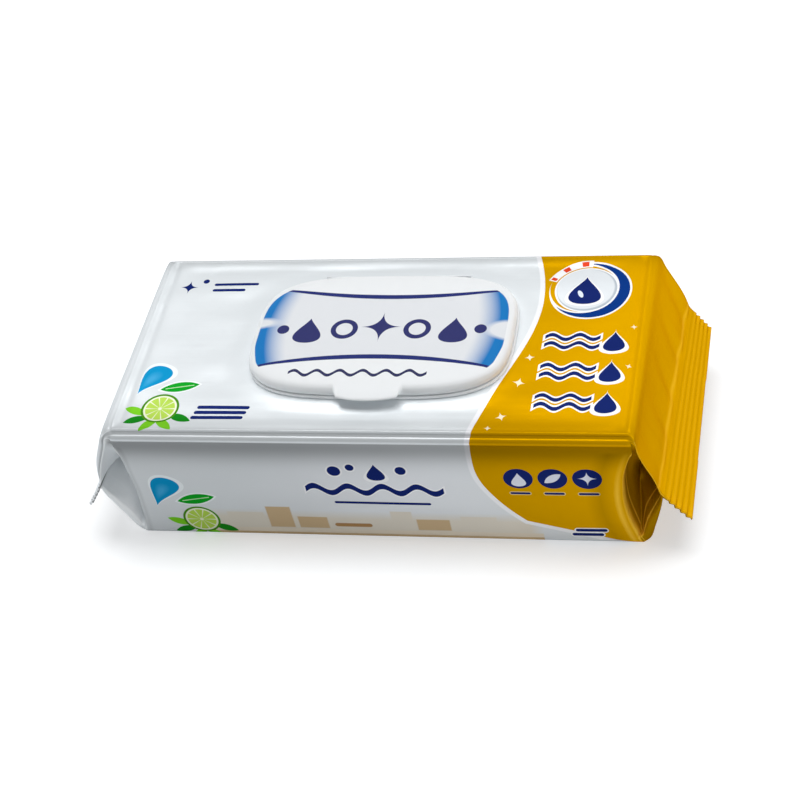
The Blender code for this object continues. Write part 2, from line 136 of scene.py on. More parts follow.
# Crimped fin seal: x and z of its middle line, and what the skew adds towards +Y
FIN_ROOT = (0.1106, 0.0275)
FIN_TIP = (0.1187, 0.0162)
FIN_ROOT_SKEW = (0.0017, 0.0)
FIN_TIP_SKEW = (0.0004, 0.0009)
CRIMP_FROM = 0.1               # share of the seal before the first ridge
CRIMP_MIDDLE = 0.25            # how deep the ridges are, in crimp depths: over the width, and at its ends
CRIMP_ENDS = 2.0
CRIMP_END_LENGTH = 0.007
LEAF = 0.00032                 # thickness of two films sealed together
LEAF_GAP = 0.00006             # between the two leaves of a gusset in the seal

# Girth points of half a ring, from the middle of the underside to the middle of the top
MIDDLE_STEPS = 12
LOW_STEPS = 12
LOW_CORNER_STEPS = 8
HIGH_STEPS = 28
HIGH_CORNER_STEPS = 20
MIDDLE_SHARES = np.linspace(0.0, INNER, MIDDLE_STEPS + 1)
BOTTOM_SHARES = np.concatenate([MIDDLE_SHARES, np.linspace(INNER, 1.0, LOW_STEPS + 1)[1:-1]])
TOP_SHARES = np.concatenate([np.linspace(1.0, INNER, HIGH_STEPS + 1)[1:-1], MIDDLE_SHARES[::-1]])
LOW_END = MIDDLE_STEPS + LOW_STEPS + LOW_CORNER_STEPS      # girth point where the wall starts
FOLD_POINT = LOW_END + LOW_STEPS
HIGH_END = FOLD_POINT + HIGH_STEPS                         # and where it ends
GIRTH_STEPS = HIGH_END + HIGH_CORNER_STEPS + HIGH_STEPS + MIDDLE_STEPS

# Stations along the pack
BLOCK_STEPS = 150
END_STEPS = 54
STEPS_PER_RIDGE = 8

# Outline of the lid frame's flange and of the opening, as in the CAD
LID_HALF_LENGTH = 0.0518
LID_HALF_WIDTH = 0.0329
LID_POWER = 3.6
LID_CENTRE_Y = 0.0010
BED_MARGIN = 0.0020            # how far round the flange the film is held up
OPENING_HALF_LENGTH = 0.040
OPENING_HALF_WIDTH = 0.019
OPENING_POWER = 3.0
OPENING_CENTRE_Y = -0.0008
HINGE_Y = 0.0338
HINGE_HALF_LENGTH = 0.0295
SKIRT_INSET = 0.0005
LID_COLUMNS = 420
TOP_ROWS = 12
EDGE_ROWS = 44
INSIDE_ROWS = 16
SEALING_ROWS = 24
OUTLINE_SAMPLES = 4001
TAB_DENSITY = 3.5              # how much closer than elsewhere the columns lie at the sides of the tab

# Middle of the lid's top and of its underside: height over the film
LID_CROWN = 0.0070
LID_CEILING = 0.0058
# Sections of the lid: inset from the flange's outline, height over the film, extra lean at the hinge
LID_TOP_SECTION = (
    (0.0300, 0.00695, 0.0036),
    (0.0180, 0.00688, 0.0036),
    (0.0100, 0.00676, 0.0036),
    (0.0075, 0.00669, 0.0036),
)
LID_EDGE_SECTION = (
    (0.0075, 0.00669, 0.0036),
    (0.0052, 0.00655, 0.0036),
    (0.0034, 0.00629, 0.0032),
    (0.0021, 0.00586, 0.0025),
    (0.0013, 0.00525, 0.0016),
    (0.0008, 0.00440, 0.0008),
    (0.0005, 0.00330, 0.0002),
    (0.0005, 0.00230, 0.0),
)
# The same rows where the thumb tab is: how far out of the skirt, and height
TAB_SECTION = (
    (-0.0070, 0.00667),
    (-0.0045, 0.00652),
    (-0.0020, 0.00622),
    (0.0005, 0.00576),
    (0.0030, 0.00508),
    (0.0044, 0.00448),
    (0.0047, 0.00405),
    (0.0042, 0.00370),
    (0.0018, 0.00400),
    (0.0, 0.00230),
)
LID_INSIDE_SECTION = (
    (0.0007, 0.00203, 0.0),
    (0.0015, 0.00203, 0.0),
    (0.0017, 0.00230, 0.0),
    (0.0017, 0.00440, 0.0010),
    (0.0021, 0.00500, 0.0020),
    (0.0039, 0.00540, 0.0030),
)
# The sealing ring under the lid, and the ceiling inside it: out from the opening, height
SEALING_SECTION = (
    (0.0028, 0.0055),
    (0.0028, 0.0029),
    (0.0025, 0.0026),
    (0.0021, 0.0026),
    (0.0018, 0.0029),
    (0.0018, 0.0055),
)
CEILING_SECTION = ((-0.0060, LID_CEILING), (-0.0150, LID_CEILING))
# The living hinge: out from the hinge line and up from the film
HINGE_SECTION = ((0.0001, 0.00155), (0.00015, 0.0021), (-0.0002, 0.0026), (-0.00045, 0.0032))
HINGE_HALF_THICKNESS = 0.00012
HINGE_CURVE_POINTS = 13
HINGE_STATIONS = 61
TAB_HALF_WIDTH = 0.0138
TAB_REACH = 0.0047             # of the rows above
TAB_ARCH = 0.36                # share of the reach by which the tab's front is arched
TAB_SIDE = 0.82                # share of the half width where its steep side starts


# Settings

def length(name, description, default):
    return FloatProperty(name=name, description=description, default=default, unit="LENGTH",
                         subtype="DISTANCE", precision=5)


def power(name, description, default):
    return FloatProperty(name=name, description=description, default=default, min=0.0, unit="POWER")


def colour(name, description, default):
    return FloatVectorProperty(name=name, description=description, default=linear(default), size=3,
                               min=0.0, max=1.0, subtype="COLOR")


def linear(hex_colour):
    """Scene-linear red, green and blue of a colour written as six hexadecimal digits."""
    channels = np.array([int(hex_colour[i:i + 2], 16) for i in (0, 2, 4)]) / 255
    return tuple(np.where(channels <= 0.04045, channels / 12.92, ((channels + 0.055) / 1.055) ** 2.4))


class WipesPackFilm(bpy.types.PropertyGroup):
    bead: length("Edge bead", "How far the two beads along a long edge stand out", 0.00034)
    groove: length("Edge groove", "Depth of the channel between the two beads", 0.00055)
    step: length("Edge step", "How far the side steps in below the lower bead", 0.00035)
    rim: length("Tuck rim", "Height of the pinched rim along the crease of a tuck", 0.00030)
    bed: length("Glue bed", "How far the film stands up to the lid frame glued on it", 0.00022)
    puff: length("End puff", "How far the left end's upper panel is puffed out", 0.0024)
    slack: length("Slack", "How far the top sinks between the lid and the edges", 0.00045)
    ripple: length("Ripple", "Depth of the soft ripples in the film", 0.00012)
    crimp: length("Crimp depth", "Half the depth of the ridges pressed into the end seals", 0.00020)
    ridges: IntProperty(name="Crimp ridges", description="Ridges across an end seal", default=5, min=1)
    silver: colour("Silver", "Ground colour of the film", "DFE4E7")
    gold: colour("Gold", "Colour of the wave at the right end", "DEA500")
    navy: colour("Navy", "Dark blue ink", "1B2A6B")
    blue: colour("Blue", "Bright blue ink", "1696CC")
    green: colour("Green", "Leaf green ink", "17A32A")


class WipesPackLid(bpy.types.PropertyGroup):
    tab_reach: length("Thumb tab", "How far the thumb tab stands out in front", TAB_REACH)
    plastic: colour("Plastic", "Colour of the moulded parts", "EEF1F3")
    banner: colour("Banner", "Blue at the ends of the banner on the lid", "0A76BE")
    rule: colour("Banner lines", "Dark blue of the lines along the banner", "15246C")


class WipesPackStage(bpy.types.PropertyGroup):
    floor: colour("Floor", "Colour of the floor", "DADCDE")
    key_power: power("Key light", "Power of the large light overhead", 12.8)
    fill_power: power("Fill light", "Power of the light in front", 1.40)
    side_power: power("Side light", "Power of the light on the gold end", 3.5)
    left_power: power("Left light", "Power of the light on the silver end", 4.1)
    sky: FloatProperty(name="Sky", description="Strength of the even light from all round",
                       default=0.16, min=0.0)


class WipesPackSettings(bpy.types.PropertyGroup):
    film: PointerProperty(type=WipesPackFilm)
    lid: PointerProperty(type=WipesPackLid)
    stage: PointerProperty(type=WipesPackStage)


# Numpy surfaces

def smooth_path(knots, points, at):
    """Cubic Hermite curve through points at the knots, level where a coordinate turns back."""
    knots = np.asarray(knots, float)
    points = np.asarray(points, float)
    slopes = np.gradient(points, knots, axis=0)
    steps = np.diff(points, axis=0)
    slopes[1:-1][steps[:-1] * steps[1:] <= 0] = 0.0
    i = np.clip(np.searchsorted(knots, at, side="right") - 1, 0, len(knots) - 2)
    span = (knots[i + 1] - knots[i])[:, None]
    t = (at - knots[i])[:, None] / span
    return ((2 * t**3 - 3 * t**2 + 1) * points[i] + (t**3 - 2 * t**2 + t) * span * slopes[i]
            + (3 * t**2 - 2 * t**3) * points[i + 1] + (t**3 - t**2) * span * slopes[i + 1])


def smoothstep(low, high, value):
    t = np.clip((value - low) / (high - low), 0.0, 1.0)
    return t * t * (3 - 2 * t)


def plateau(low, full, fading, end, value):
    """0 below low, 1 from full to fading, and 0 again from end on."""
    return smoothstep(low, full, value) * (1 - smoothstep(fading, end, value))


def bump(centre, width, value):
    """A bell curve of height 1."""
    return np.exp(-((value - centre) / width) ** 2)


def shares(steps):
    return np.linspace(0.0, 1.0, steps + 1)


def unit(vectors):
    return vectors / np.linalg.norm(vectors, axis=-1)[..., None]


def travelled(points):
    """Distance along a line of points, from the first of them."""
    return np.concatenate([[0.0], np.cumsum(np.linalg.norm(np.diff(points, axis=0), axis=1))])


def new_object(name, vertices, faces, material):
    mesh = bpy.data.meshes.new(name)
    mesh.from_pydata(np.asarray(vertices).tolist(), [], faces)
    mesh.validate()
    mesh.shade_smooth()
    mesh.materials.append(material)
    piece = bpy.data.objects.new(name, mesh)
    bpy.context.scene.collection.objects.link(piece)
    return piece


def grid_faces(rows, columns):
    """Quads of a grid of points whose columns close on themselves."""
    row, column = np.meshgrid(np.arange(rows - 1), np.arange(columns), indexing="ij")
    here = row * columns + column
    beside = row * columns + (column + 1) % columns
    return np.stack([here, beside, beside + columns, here + columns], axis=-1).reshape(-1, 4)


# The film bag

def panel(knots, points, u, side):
    """A panel's edge on one long side and its middle line, at shares u of the way to the fin."""
    at = smooth_path(knots, points, u)
    level = np.zeros(len(u))
    middle = np.column_stack([at[:, 0], level, at[:, 1]])
    edge = np.column_stack([at[:, 0] + side * at[:, 2], level + side * HALF_WIDTH, at[:, 1]])
    return edge, middle


def into_bag(knots, points, u, upright, square_from):
    """Unit vectors from a panel into the bag: upright at the crease, later square to the panel."""
    step = 0.01
    ahead = smooth_path(knots, points, np.minimum(u + step, 1.0))[:, :2]
    behind = smooth_path(knots, points, np.maximum(u - step, 0.0))[:, :2]
    tangent = unit(ahead - behind)
    square = upright * np.column_stack([-tangent[:, 1], np.zeros(len(u)), tangent[:, 0]])
    share = np.clip(u / square_from, 0.0, 1.0)[:, None]
    return unit((1 - share) * np.array([0.0, 0.0, upright]) + share * square)


def half_rings(side, top, top_middle, bottom, bottom_middle, fold, high, low, high_radius, low_radius):
    """Half cross-sections on one side: straight runs between rounded corners, through the fold.

    Every argument after side has one row for each station. high and low are the vectors from the
    sharp corners of the section to where the rounding of that edge ends on the side.
    """
    inward = np.array([0.0, -side, 0.0])
    top_start = top + inward * high_radius[:, None]
    bottom_start = bottom + inward * low_radius[:, None]

    def run(start, end, share):
        return start[:, None] + share[None, :, None] * (end - start)[:, None]

    def corner(start, control, end, steps):
        t = shares(steps)[None, :, None]
        return (1 - t) ** 2 * start[:, None] + 2 * t * (1 - t) * control[:, None] + t ** 2 * end[:, None]

    return np.concatenate([
        run(bottom_middle, bottom_start, BOTTOM_SHARES),
        corner(bottom_start, bottom, bottom + low, LOW_CORNER_STEPS),
        run(bottom + low, fold, shares(LOW_STEPS)[1:]),
        run(fold, top + high, shares(HIGH_STEPS)[1:-1]),
        corner(top + high, top, top_start, HIGH_CORNER_STEPS),
        run(top_middle, top_start, TOP_SHARES),
    ], axis=1)


def girth_positions(fold_at):
    """Distance round the girth from the top edge, counted down the side, for each girth point of half
    a ring. fold_at has the position of the gusset's fold for each station."""
    stations = len(fold_at)
    column = fold_at[:, None]
    under = (HALF_WIDTH - BOTTOM_RADIUS) * BOTTOM_SHARES - TOP_TO_SEAM
    low_corner = -HEIGHT - BOTTOM_RADIUS + 2 * BOTTOM_RADIUS * shares(LOW_CORNER_STEPS)
    high_corner = TOP_RADIUS * (2 * shares(HIGH_CORNER_STEPS) - 1)
    over = HALF_WIDTH - (HALF_WIDTH - TOP_RADIUS) * TOP_SHARES
    lower = low_corner[-1] + shares(LOW_STEPS)[1:] * (column - low_corner[-1])
    upper = column + shares(HIGH_STEPS)[1:-1] * (-TOP_RADIUS - column)
    return np.concatenate([np.tile(np.concatenate([under, low_corner]), (stations, 1)), lower, upper,
                           np.tile(np.concatenate([high_corner, over]), (stations, 1))], axis=1)


def arch(rise):
    """How far the tuck's crease bows back at a share of the height: 0 at the foot and above the lip."""
    top = 1.0 - (TOP_RADIUS + LIP) / HEIGHT
    return np.sin(np.pi * np.clip(rise / top, 0.0, 1.0)) ** CREASE_ARCH


def block_half(side, x):
    """Half sections of the square part. Towards its ends the wall rolls in, and the crease of the tuck
    is bowed back along it. Also returns the fold's place round the girth and how far points moved in x."""
    level = np.zeros(len(x))
    top = np.column_stack([x, level + side * HALF_WIDTH, level + HEIGHT])
    bottom = np.column_stack([x, level + side * HALF_WIDTH, level])
    high = np.tile([0.0, 0.0, -TOP_RADIUS], (len(x), 1))
    low = np.tile([0.0, 0.0, BOTTOM_RADIUS], (len(x), 1))
    to_end = smoothstep(0.6, 1.0, np.abs(x) / HALF_LENGTH)
    fold_z = (1 - to_end) * 0.4 * HEIGHT + to_end * FOLD[0][2]
    fold = np.column_stack([x, level + side * HALF_WIDTH, fold_z])
    points = half_rings(side, top, top * [1, 0, 1], bottom, bottom * [1, 0, 1], fold, high, low,
                        level + TOP_RADIUS, level + BOTTOM_RADIUS)
    wall = points[:, LOW_END:HIGH_END + 1]
    rise = wall[..., 2] / HEIGHT
    swell = SIDE_SWELL * np.sin(np.pi * rise) * (1 - (x / HALF_LENGTH) ** 2)[:, None]
    roll = CREASE_ROLL * np.exp((np.abs(x) - HALF_LENGTH) / CREASE_ROLL_LENGTH)[:, None] * arch(rise)
    wall[..., 1] += side * (swell - roll)
    moved = np.zeros(points.shape[:2])
    bow = (np.where(x < 0, LEFT_SAG, RIGHT_SAG) * (np.abs(x) / HALF_LENGTH) ** 8)[:, None]
    moved[:, LOW_END:HIGH_END + 1] = -np.sign(x)[:, None] * bow * arch(rise)
    points[..., 0] += moved
    return points, fold_z - HEIGHT, moved


def end_half(side, u, sag):
    """Half sections of a tucked end, seen as the +X end, from its crease to the root of the fin. Between
    the gusset's fold and the free edges the two flaps are drawn in, most of all behind the crease. The
    free edges flare out a little."""
    top, top_middle = panel(TOP_KNOTS, TOP_PANEL, u, side)
    bottom, bottom_middle = panel(BOTTOM_KNOTS, BOTTOM_PANEL, u, side)
    flaring = np.clip((u - FLARE_FROM) / (1 - FLARE_FROM), 0.0, 1.0)
    top[:, 0] += EDGE_FLARE * np.sin(np.pi * flaring) ** 1.5
    fading = 1 - smoothstep(0.0, EDGE_PINCH, u)
    softness = (1 - u) ** 1.5
    high_radius = FOLD_EDGE + (TOP_RADIUS - FOLD_EDGE) * fading
    low_radius = FOLD_EDGE + (BOTTOM_RADIUS - FOLD_EDGE) * softness
    high = high_radius[:, None] * into_bag(TOP_KNOTS, TOP_PANEL, u, -1, 0.1)
    low = low_radius[:, None] * into_bag(BOTTOM_KNOTS, BOTTOM_PANEL, u, 1, 0.3)
    fold_x, depth, fold_z = smooth_path(FOLD_KNOTS, FOLD, u).T
    bow = sag * (1 - u) ** 1.5
    foot, head = bottom[:, 2], top[:, 2]
    skew = side * u ** 2 * (1 - depth / HALF_WIDTH)
    fold_x = fold_x + skew * FIN_ROOT_SKEW[0] + bow * arch((fold_z - foot) / (head - foot))
    fold = np.column_stack([fold_x, side * (HALF_WIDTH - depth), fold_z + skew * FIN_ROOT_SKEW[1]])
    points = half_rings(side, top, top_middle, bottom, bottom_middle, fold, high, low,
                        high_radius, low_radius)
    wall = points[:, LOW_END:HIGH_END + 1]
    rise = (wall[..., 2] - foot[:, None]) / (head - foot)[:, None]
    moved = np.zeros(points.shape[:2])
    moved[:, LOW_END:HIGH_END + 1] = -bow[:, None] * arch(rise)
    points[..., 0] += moved
    lower = np.tile(shares(LOW_STEPS), (len(u), 1))
    flap = np.linalg.norm(top + high - fold, axis=1)
    below_lip = 1 - LIP * (1 - smoothstep(0.0, LIP_END, u)) / flap
    upper = np.clip(shares(HIGH_STEPS)[1:] / below_lip[:, None], 0.0, 1.0)
    across = np.concatenate([LOWER_TUCK * np.sin(np.pi * lower),
                             UPPER_TUCK * np.sin(np.pi * upper).clip(0.0) ** 0.7], axis=1)
    drawn_in = ((1 - np.exp(-u / TUCK_START)) * (1 - u) ** 0.6)[:, None] * across
    drawn_in += (CREASE_ROLL * (1 - u) ** 3)[:, None] * arch(rise)
    wall[..., 1] -= side * drawn_in
    fold_at = FOLD[0][2] - HEIGHT + u * (HEIGHT / 2 - FOLD[0][2])
    return points, fold_at, moved


def fin_half(side, v, settings):
    """Half sections of the crimped seal, where the panels and the gusset's flaps lie on each other."""
    def middle_line(skew):
        root = np.array(FIN_ROOT) + skew * np.array(FIN_ROOT_SKEW)
        tip = np.array(FIN_TIP) + skew * np.array(FIN_TIP_SKEW)
        return root + v[:, None] * (tip - root)

    along = unit(np.array(FIN_TIP) - np.array(FIN_ROOT))
    normal = np.array([-along[1], 0.0, along[0]])
    level = np.zeros(len(v))

    def layer(skew, offset):
        x, z = middle_line(skew).T
        return np.column_stack([x, level + skew * HALF_WIDTH, z]) + offset * normal

    thick = LEAF + LEAF_GAP
    radius = LEAF / 2
    points = half_rings(side, layer(side, thick), layer(0.0, thick), layer(side, -thick),
                        layer(0.0, -thick), layer(side * INNER, 0.0), np.tile(-LEAF * normal, (len(v), 1)),
                        np.tile(LEAF * normal, (len(v), 1)), level + radius, level + radius)
    single = 1 - smoothstep(HALF_WIDTH - FOLD_DEPTH - 0.002, HALF_WIDTH - FOLD_DEPTH, np.abs(points[..., 1]))
    outer = np.ones(points.shape[1])
    outer[:FOLD_POINT] = -1.0
    points -= (single * outer * (thick - LEAF / 2))[..., None] * normal
    wave = np.abs((v * settings.ridges + 0.25) % 1.0 * 4 - 2) - 1
    wave = settings.crimp * np.sin(wave * np.pi / 2) * smoothstep(CRIMP_FROM, CRIMP_FROM + 0.1, v)
    to_end = smoothstep(HALF_WIDTH - CRIMP_END_LENGTH, HALF_WIDTH, np.abs(points[..., 1]))
    depth = CRIMP_MIDDLE + (CRIMP_ENDS - CRIMP_MIDDLE) * to_end
    points += (wave[:, None] * depth)[..., None] * normal
    return points, level - HEIGHT / 2, np.zeros(points.shape[:2])


def film_stations(settings):
    """Half rings on both sides, from fin tip to fin tip: points (side, station, girth, xyz), positions
    along the film and round the girth for each of them, and the index of the first crease."""
    u = shares(END_STEPS)[1:]
    v = shares(settings.ridges * STEPS_PER_RIDGE)[1:]
    t = np.linspace(-1.0, 1.0, BLOCK_STEPS + 1)
    x = HALF_LENGTH * (0.4 * t + 0.6 * np.sin(np.pi * t / 2))
    turn = np.array([-1.0, -1.0, 1.0])
    halves, girths, shifts = [], [], []
    for side in (1, -1):
        near = [end_half(side, u, RIGHT_SAG), fin_half(side, v, settings)]
        far = [(points[::-1] * turn, fold_at[::-1], -moved[::-1]) for points, fold_at, moved
               in (fin_half(-side, v, settings), end_half(-side, u, LEFT_SAG))]
        points, fold_at, moved = zip(*far, block_half(side, x), *near)
        halves.append(np.concatenate(points))
        girths.append(girth_positions(np.concatenate(fold_at)))
        shifts.append(np.concatenate(moved))
    halves = np.array(halves)
    along = travelled(halves[0, :, -1])
    along = (along - along[-1] / 2)[:, None] + np.array(shifts)
    return halves, along, np.array(girths), len(v) + len(u)


def whole_rings(halves):
    """Up the +Y half and down the -Y half, without the two middles twice."""
    return np.concatenate([halves[0], halves[1][:, -2:0:-1]], axis=1)


def soften(points, amount, passes):
    """Round creases that run round the girth: average each station with its neighbours."""
    for _ in range(passes):
        shift = 0.25 * (points[:-2] + points[2:]) - 0.5 * points[1:-1]
        points[1:-1] += amount[1:-1, :, None] * shift
    return points


def ring_normals(points):
    """Outward unit normals of a grid of rings."""
    along = np.gradient(points, axis=0)
    around = (np.roll(points, -1, axis=1) - np.roll(points, 1, axis=1)) / 2
    normal = np.cross(around, along)
    return normal / np.maximum(np.linalg.norm(normal, axis=2), 1e-12)[..., None]


def seal_cap(station, columns, reverse):
    """Faces that close the leaves of a fin at its tip, between facing girth points."""
    below = MIDDLE_STEPS
    above = GIRTH_STEPS - MIDDLE_STEPS
    edge = MIDDLE_STEPS + LOW_STEPS + LOW_CORNER_STEPS // 2
    strips = [[(k, GIRTH_STEPS - k) for k in range(below + 1)],
              [(k, 2 * edge - k) for k in range(below, edge + 1)],
              [(FOLD_POINT + k, above - k) for k in range((above - FOLD_POINT) // 2 + 1)]]
    faces = [(below, FOLD_POINT, above)]
    for strip in strips:
        for (p, q), (r, s) in zip(strip, strip[1:]):
            faces.append((p, r, s, q) if r != s else (p, r, q))
    closed = []
    for face in faces:
        right = [station * columns + k for k in face]
        left = [station * columns + (columns - k) % columns for k in reversed(face)]
        closed += [right, left]
    return [face[::-1] for face in closed] if reverse else closed


def film_relief(x, t, y, settings):
    """Height of the film over its plain surface, in metres: two beads with a channel between them along
    each long edge, a step below the lower one, a slack border round the lid, and soft ripples. x, t and
    y are in millimetres."""
    square = 1 - smoothstep(98.3, 99.9, np.abs(x))
    top_bead = bump(2.1, 0.65, t)
    side_bead = 1.3 * bump(-3.2, 1.1, t)
    channel = plateau(-1.6, -0.9, 0.8, 1.5, t)
    step = plateau(3.9, 4.7, 15.0, 45.0, -t)
    edge = settings.bead * (top_bead + side_bead) - settings.groove * channel - settings.step * step
    lid = (np.abs(x * MM / (LID_HALF_LENGTH + BED_MARGIN)) ** LID_POWER
           + np.abs((y * MM - LID_CENTRE_Y) / (LID_HALF_WIDTH + BED_MARGIN)) ** LID_POWER) ** (1 / LID_POWER)
    round_lid = smoothstep(1.0, 1.16, lid)
    top = smoothstep(4.5, 9.0, t) * (1 - smoothstep(84.0, 97.0, np.abs(x)))
    slack = top * (settings.bed * (1 - smoothstep(0.985, 1.05, lid)) - settings.slack * round_lid)
    ripples = np.zeros_like(x)
    chance = np.random.default_rng(11)
    for _ in range(9):
        run = chance.uniform(55.0, 150.0)
        rise = chance.uniform(13.0, 34.0)
        phase = chance.uniform(0.0, 2 * np.pi)
        ripples += np.sin(2 * np.pi * (x / run + chance.choice([-1, 1]) * t / rise) + phase) / 3
    ripples *= settings.ripple * (round_lid * smoothstep(3.0, 9.0, t) + plateau(5.0, 10.0, 50.0, 58.0, -t))
    crease = (bump(98.9, 0.8, np.abs(x)) - 1.2 * bump(96.4, 1.7, np.abs(x))) * smoothstep(2.0, 6.0, t)
    return square * (edge + ripples) + slack + settings.slack * crease


def end_relief(x, t, y, settings):
    """Height of a tucked end's top panel over its plain surface, in metres: it is puffed out at the left
    end and drawn in a little at the right, and soft folds run down it into the seal."""
    out = np.abs(x)
    down = plateau(101.0, 124.0, 129.0, 131.0, out)
    flat = smoothstep(0.5, 5.0, t)
    folds = np.zeros_like(x)
    chance = np.random.default_rng(5)
    for _ in range(6):
        width = chance.uniform(9.0, 30.0)
        phase = chance.uniform(0.0, 2 * np.pi)
        folds += np.sin(2 * np.pi * (y / width + 0.02 * out) + phase) / 3
    share = np.clip((out - HALF_LENGTH / MM) / 31.0, 0.0, 1.0)
    puff = np.sin(np.pi * share ** 0.65) * (1 - np.exp(-np.maximum(t, 0.0) / 3.0))
    puff *= np.where(x < 0, 1.0, -0.2)
    return 4.0 * settings.ripple * down * flat * folds + settings.puff * puff


def film_surface(settings):
    """The bag as one closed surface: a grid of rings carried from fin tip to fin tip.

    Each ring is a run of straight stretches and quadratic corners; its corners follow Hermite curves of
    the share of the way from the crease to the fin. Creases are softened by averaging along the film,
    and the relief is added along the normals. Returns vertices, faces, and print coordinates by corner.
    """
    halves, along, girths, end_count = film_stations(settings)
    points = whole_rings(halves)
    stations, columns = points.shape[:2]
    index = np.arange(stations)

    def near(place, width):
        return np.clip(bump(place, width, index) + bump(stations - 1 - place, width, index), 0, 1)[:, None]

    half_column = np.minimum(np.arange(columns), columns - np.arange(columns))
    off_wall = np.maximum(smoothstep(0, 8, half_column - HIGH_END), smoothstep(0, 6, LOW_END - half_column))
    corner = bump(HIGH_END + 0.6 * HIGH_CORNER_STEPS, 0.8 * HIGH_CORNER_STEPS, half_column)
    fin_count = settings.ridges * STEPS_PER_RIDGE
    for place, width, share, passes in ((end_count, 6.0, off_wall, 6), (end_count, 6.0, corner, 5),
                                        (end_count, 5.0, 1 - off_wall, 2), (fin_count, 2.5, 1.0, 3)):
        points = soften(points, near(place, width) * share * np.ones(columns), passes)

    grid_x = whole_rings(along)
    millimetres = (grid_x / MM, whole_rings(girths) / MM, points[..., 1] / MM)
    relief = film_relief(*millimetres, settings) + end_relief(*millimetres, settings)
    on_wall = (1 - off_wall) * smoothstep(0, 3, HIGH_END - 1 - half_column)
    relief += settings.rim * near(end_count, 1.2) * on_wall
    points = points + relief[..., None] * ring_normals(points)

    quads = grid_faces(stations, columns)
    caps = seal_cap(stations - 1, columns, False) + seal_cap(0, columns, True)
    around = np.concatenate([2 * HALF_WIDTH - girths[0], girths[1][:, -2::-1]], axis=1)
    grid_x = np.concatenate([grid_x, grid_x[:, :1]], axis=1)
    column = np.tile(np.arange(columns), stations - 1)
    row = np.repeat(np.arange(stations - 1), columns)
    corner_row = np.stack([row, row, row + 1, row + 1], axis=1).ravel()
    corner_column = np.stack([column, column + 1, column + 1, column], axis=1).ravel()
    cap_corners = np.concatenate([np.array(face) for face in caps])
    corner_row = np.concatenate([corner_row, cap_corners // columns])
    corner_column = np.concatenate([corner_column, cap_corners % columns])
    prints = np.column_stack([grid_x[corner_row, corner_column], around[corner_row, corner_column]])
    return points.reshape(-1, 3), [*quads.tolist(), *caps], prints


# The flip-top lid

def level_ring(height, half_length, half_width, exponent, centre_y):
    """A ring of points on |x/a|^n + |y/b|^n = 1, spaced closer where the sides of the thumb tab are."""
    angle = np.linspace(0.0, 2 * np.pi, OUTLINE_SAMPLES)
    cosine, sine = np.cos(angle), np.sin(angle)
    x = half_length * np.sign(cosine) * np.abs(cosine) ** (2 / exponent)
    y = half_width * np.sign(sine) * np.abs(sine) ** (2 / exponent)
    step = np.hypot(np.diff(x), np.diff(y))
    middle = (np.abs(x[1:]) + np.abs(x[:-1])) / 2
    at_tab = bump(TAB_HALF_WIDTH - 0.001, 0.0025, middle) * (y[1:] < 0)
    weighed = np.concatenate([[0.0], np.cumsum(step * (1 + TAB_DENSITY * at_tab))])
    even = np.linspace(0.0, weighed[-1], LID_COLUMNS, endpoint=False)
    return np.column_stack([np.interp(even, weighed, x), np.interp(even, weighed, y) + centre_y,
                            np.full(LID_COLUMNS, HEIGHT + height)])


def flange_rings(section):
    """Rings inside the flange's outline; each row of the section is inset, height, lean at the hinge."""
    return [level_ring(height, LID_HALF_LENGTH - inset, LID_HALF_WIDTH - inset - lean / 2, LID_POWER,
                       LID_CENTRE_Y - lean / 2) for inset, height, lean in section]


def opening_rings(section):
    """Rings outside the opening's outline; each row of the section is outset and height."""
    return [level_ring(height, OPENING_HALF_LENGTH + outset, OPENING_HALF_WIDTH + outset, OPENING_POWER,
                       OPENING_CENTRE_Y) for outset, height in section]


def even_path(section, count):
    """Points along a smooth curve through a section's rows."""
    section = np.asarray(section, float)
    reach = travelled(section[:, :2])
    return smooth_path(reach, section, np.linspace(0.0, reach[-1], count))


def tab_share(x):
    """How much of the thumb tab's full reach there is at x: a slightly arched front between steep sides."""
    across = np.clip(np.abs(x) / TAB_HALF_WIDTH, 0.0, 1.0)
    return (1 - TAB_ARCH * across ** 2) * smoothstep(1.0, TAB_SIDE, across)


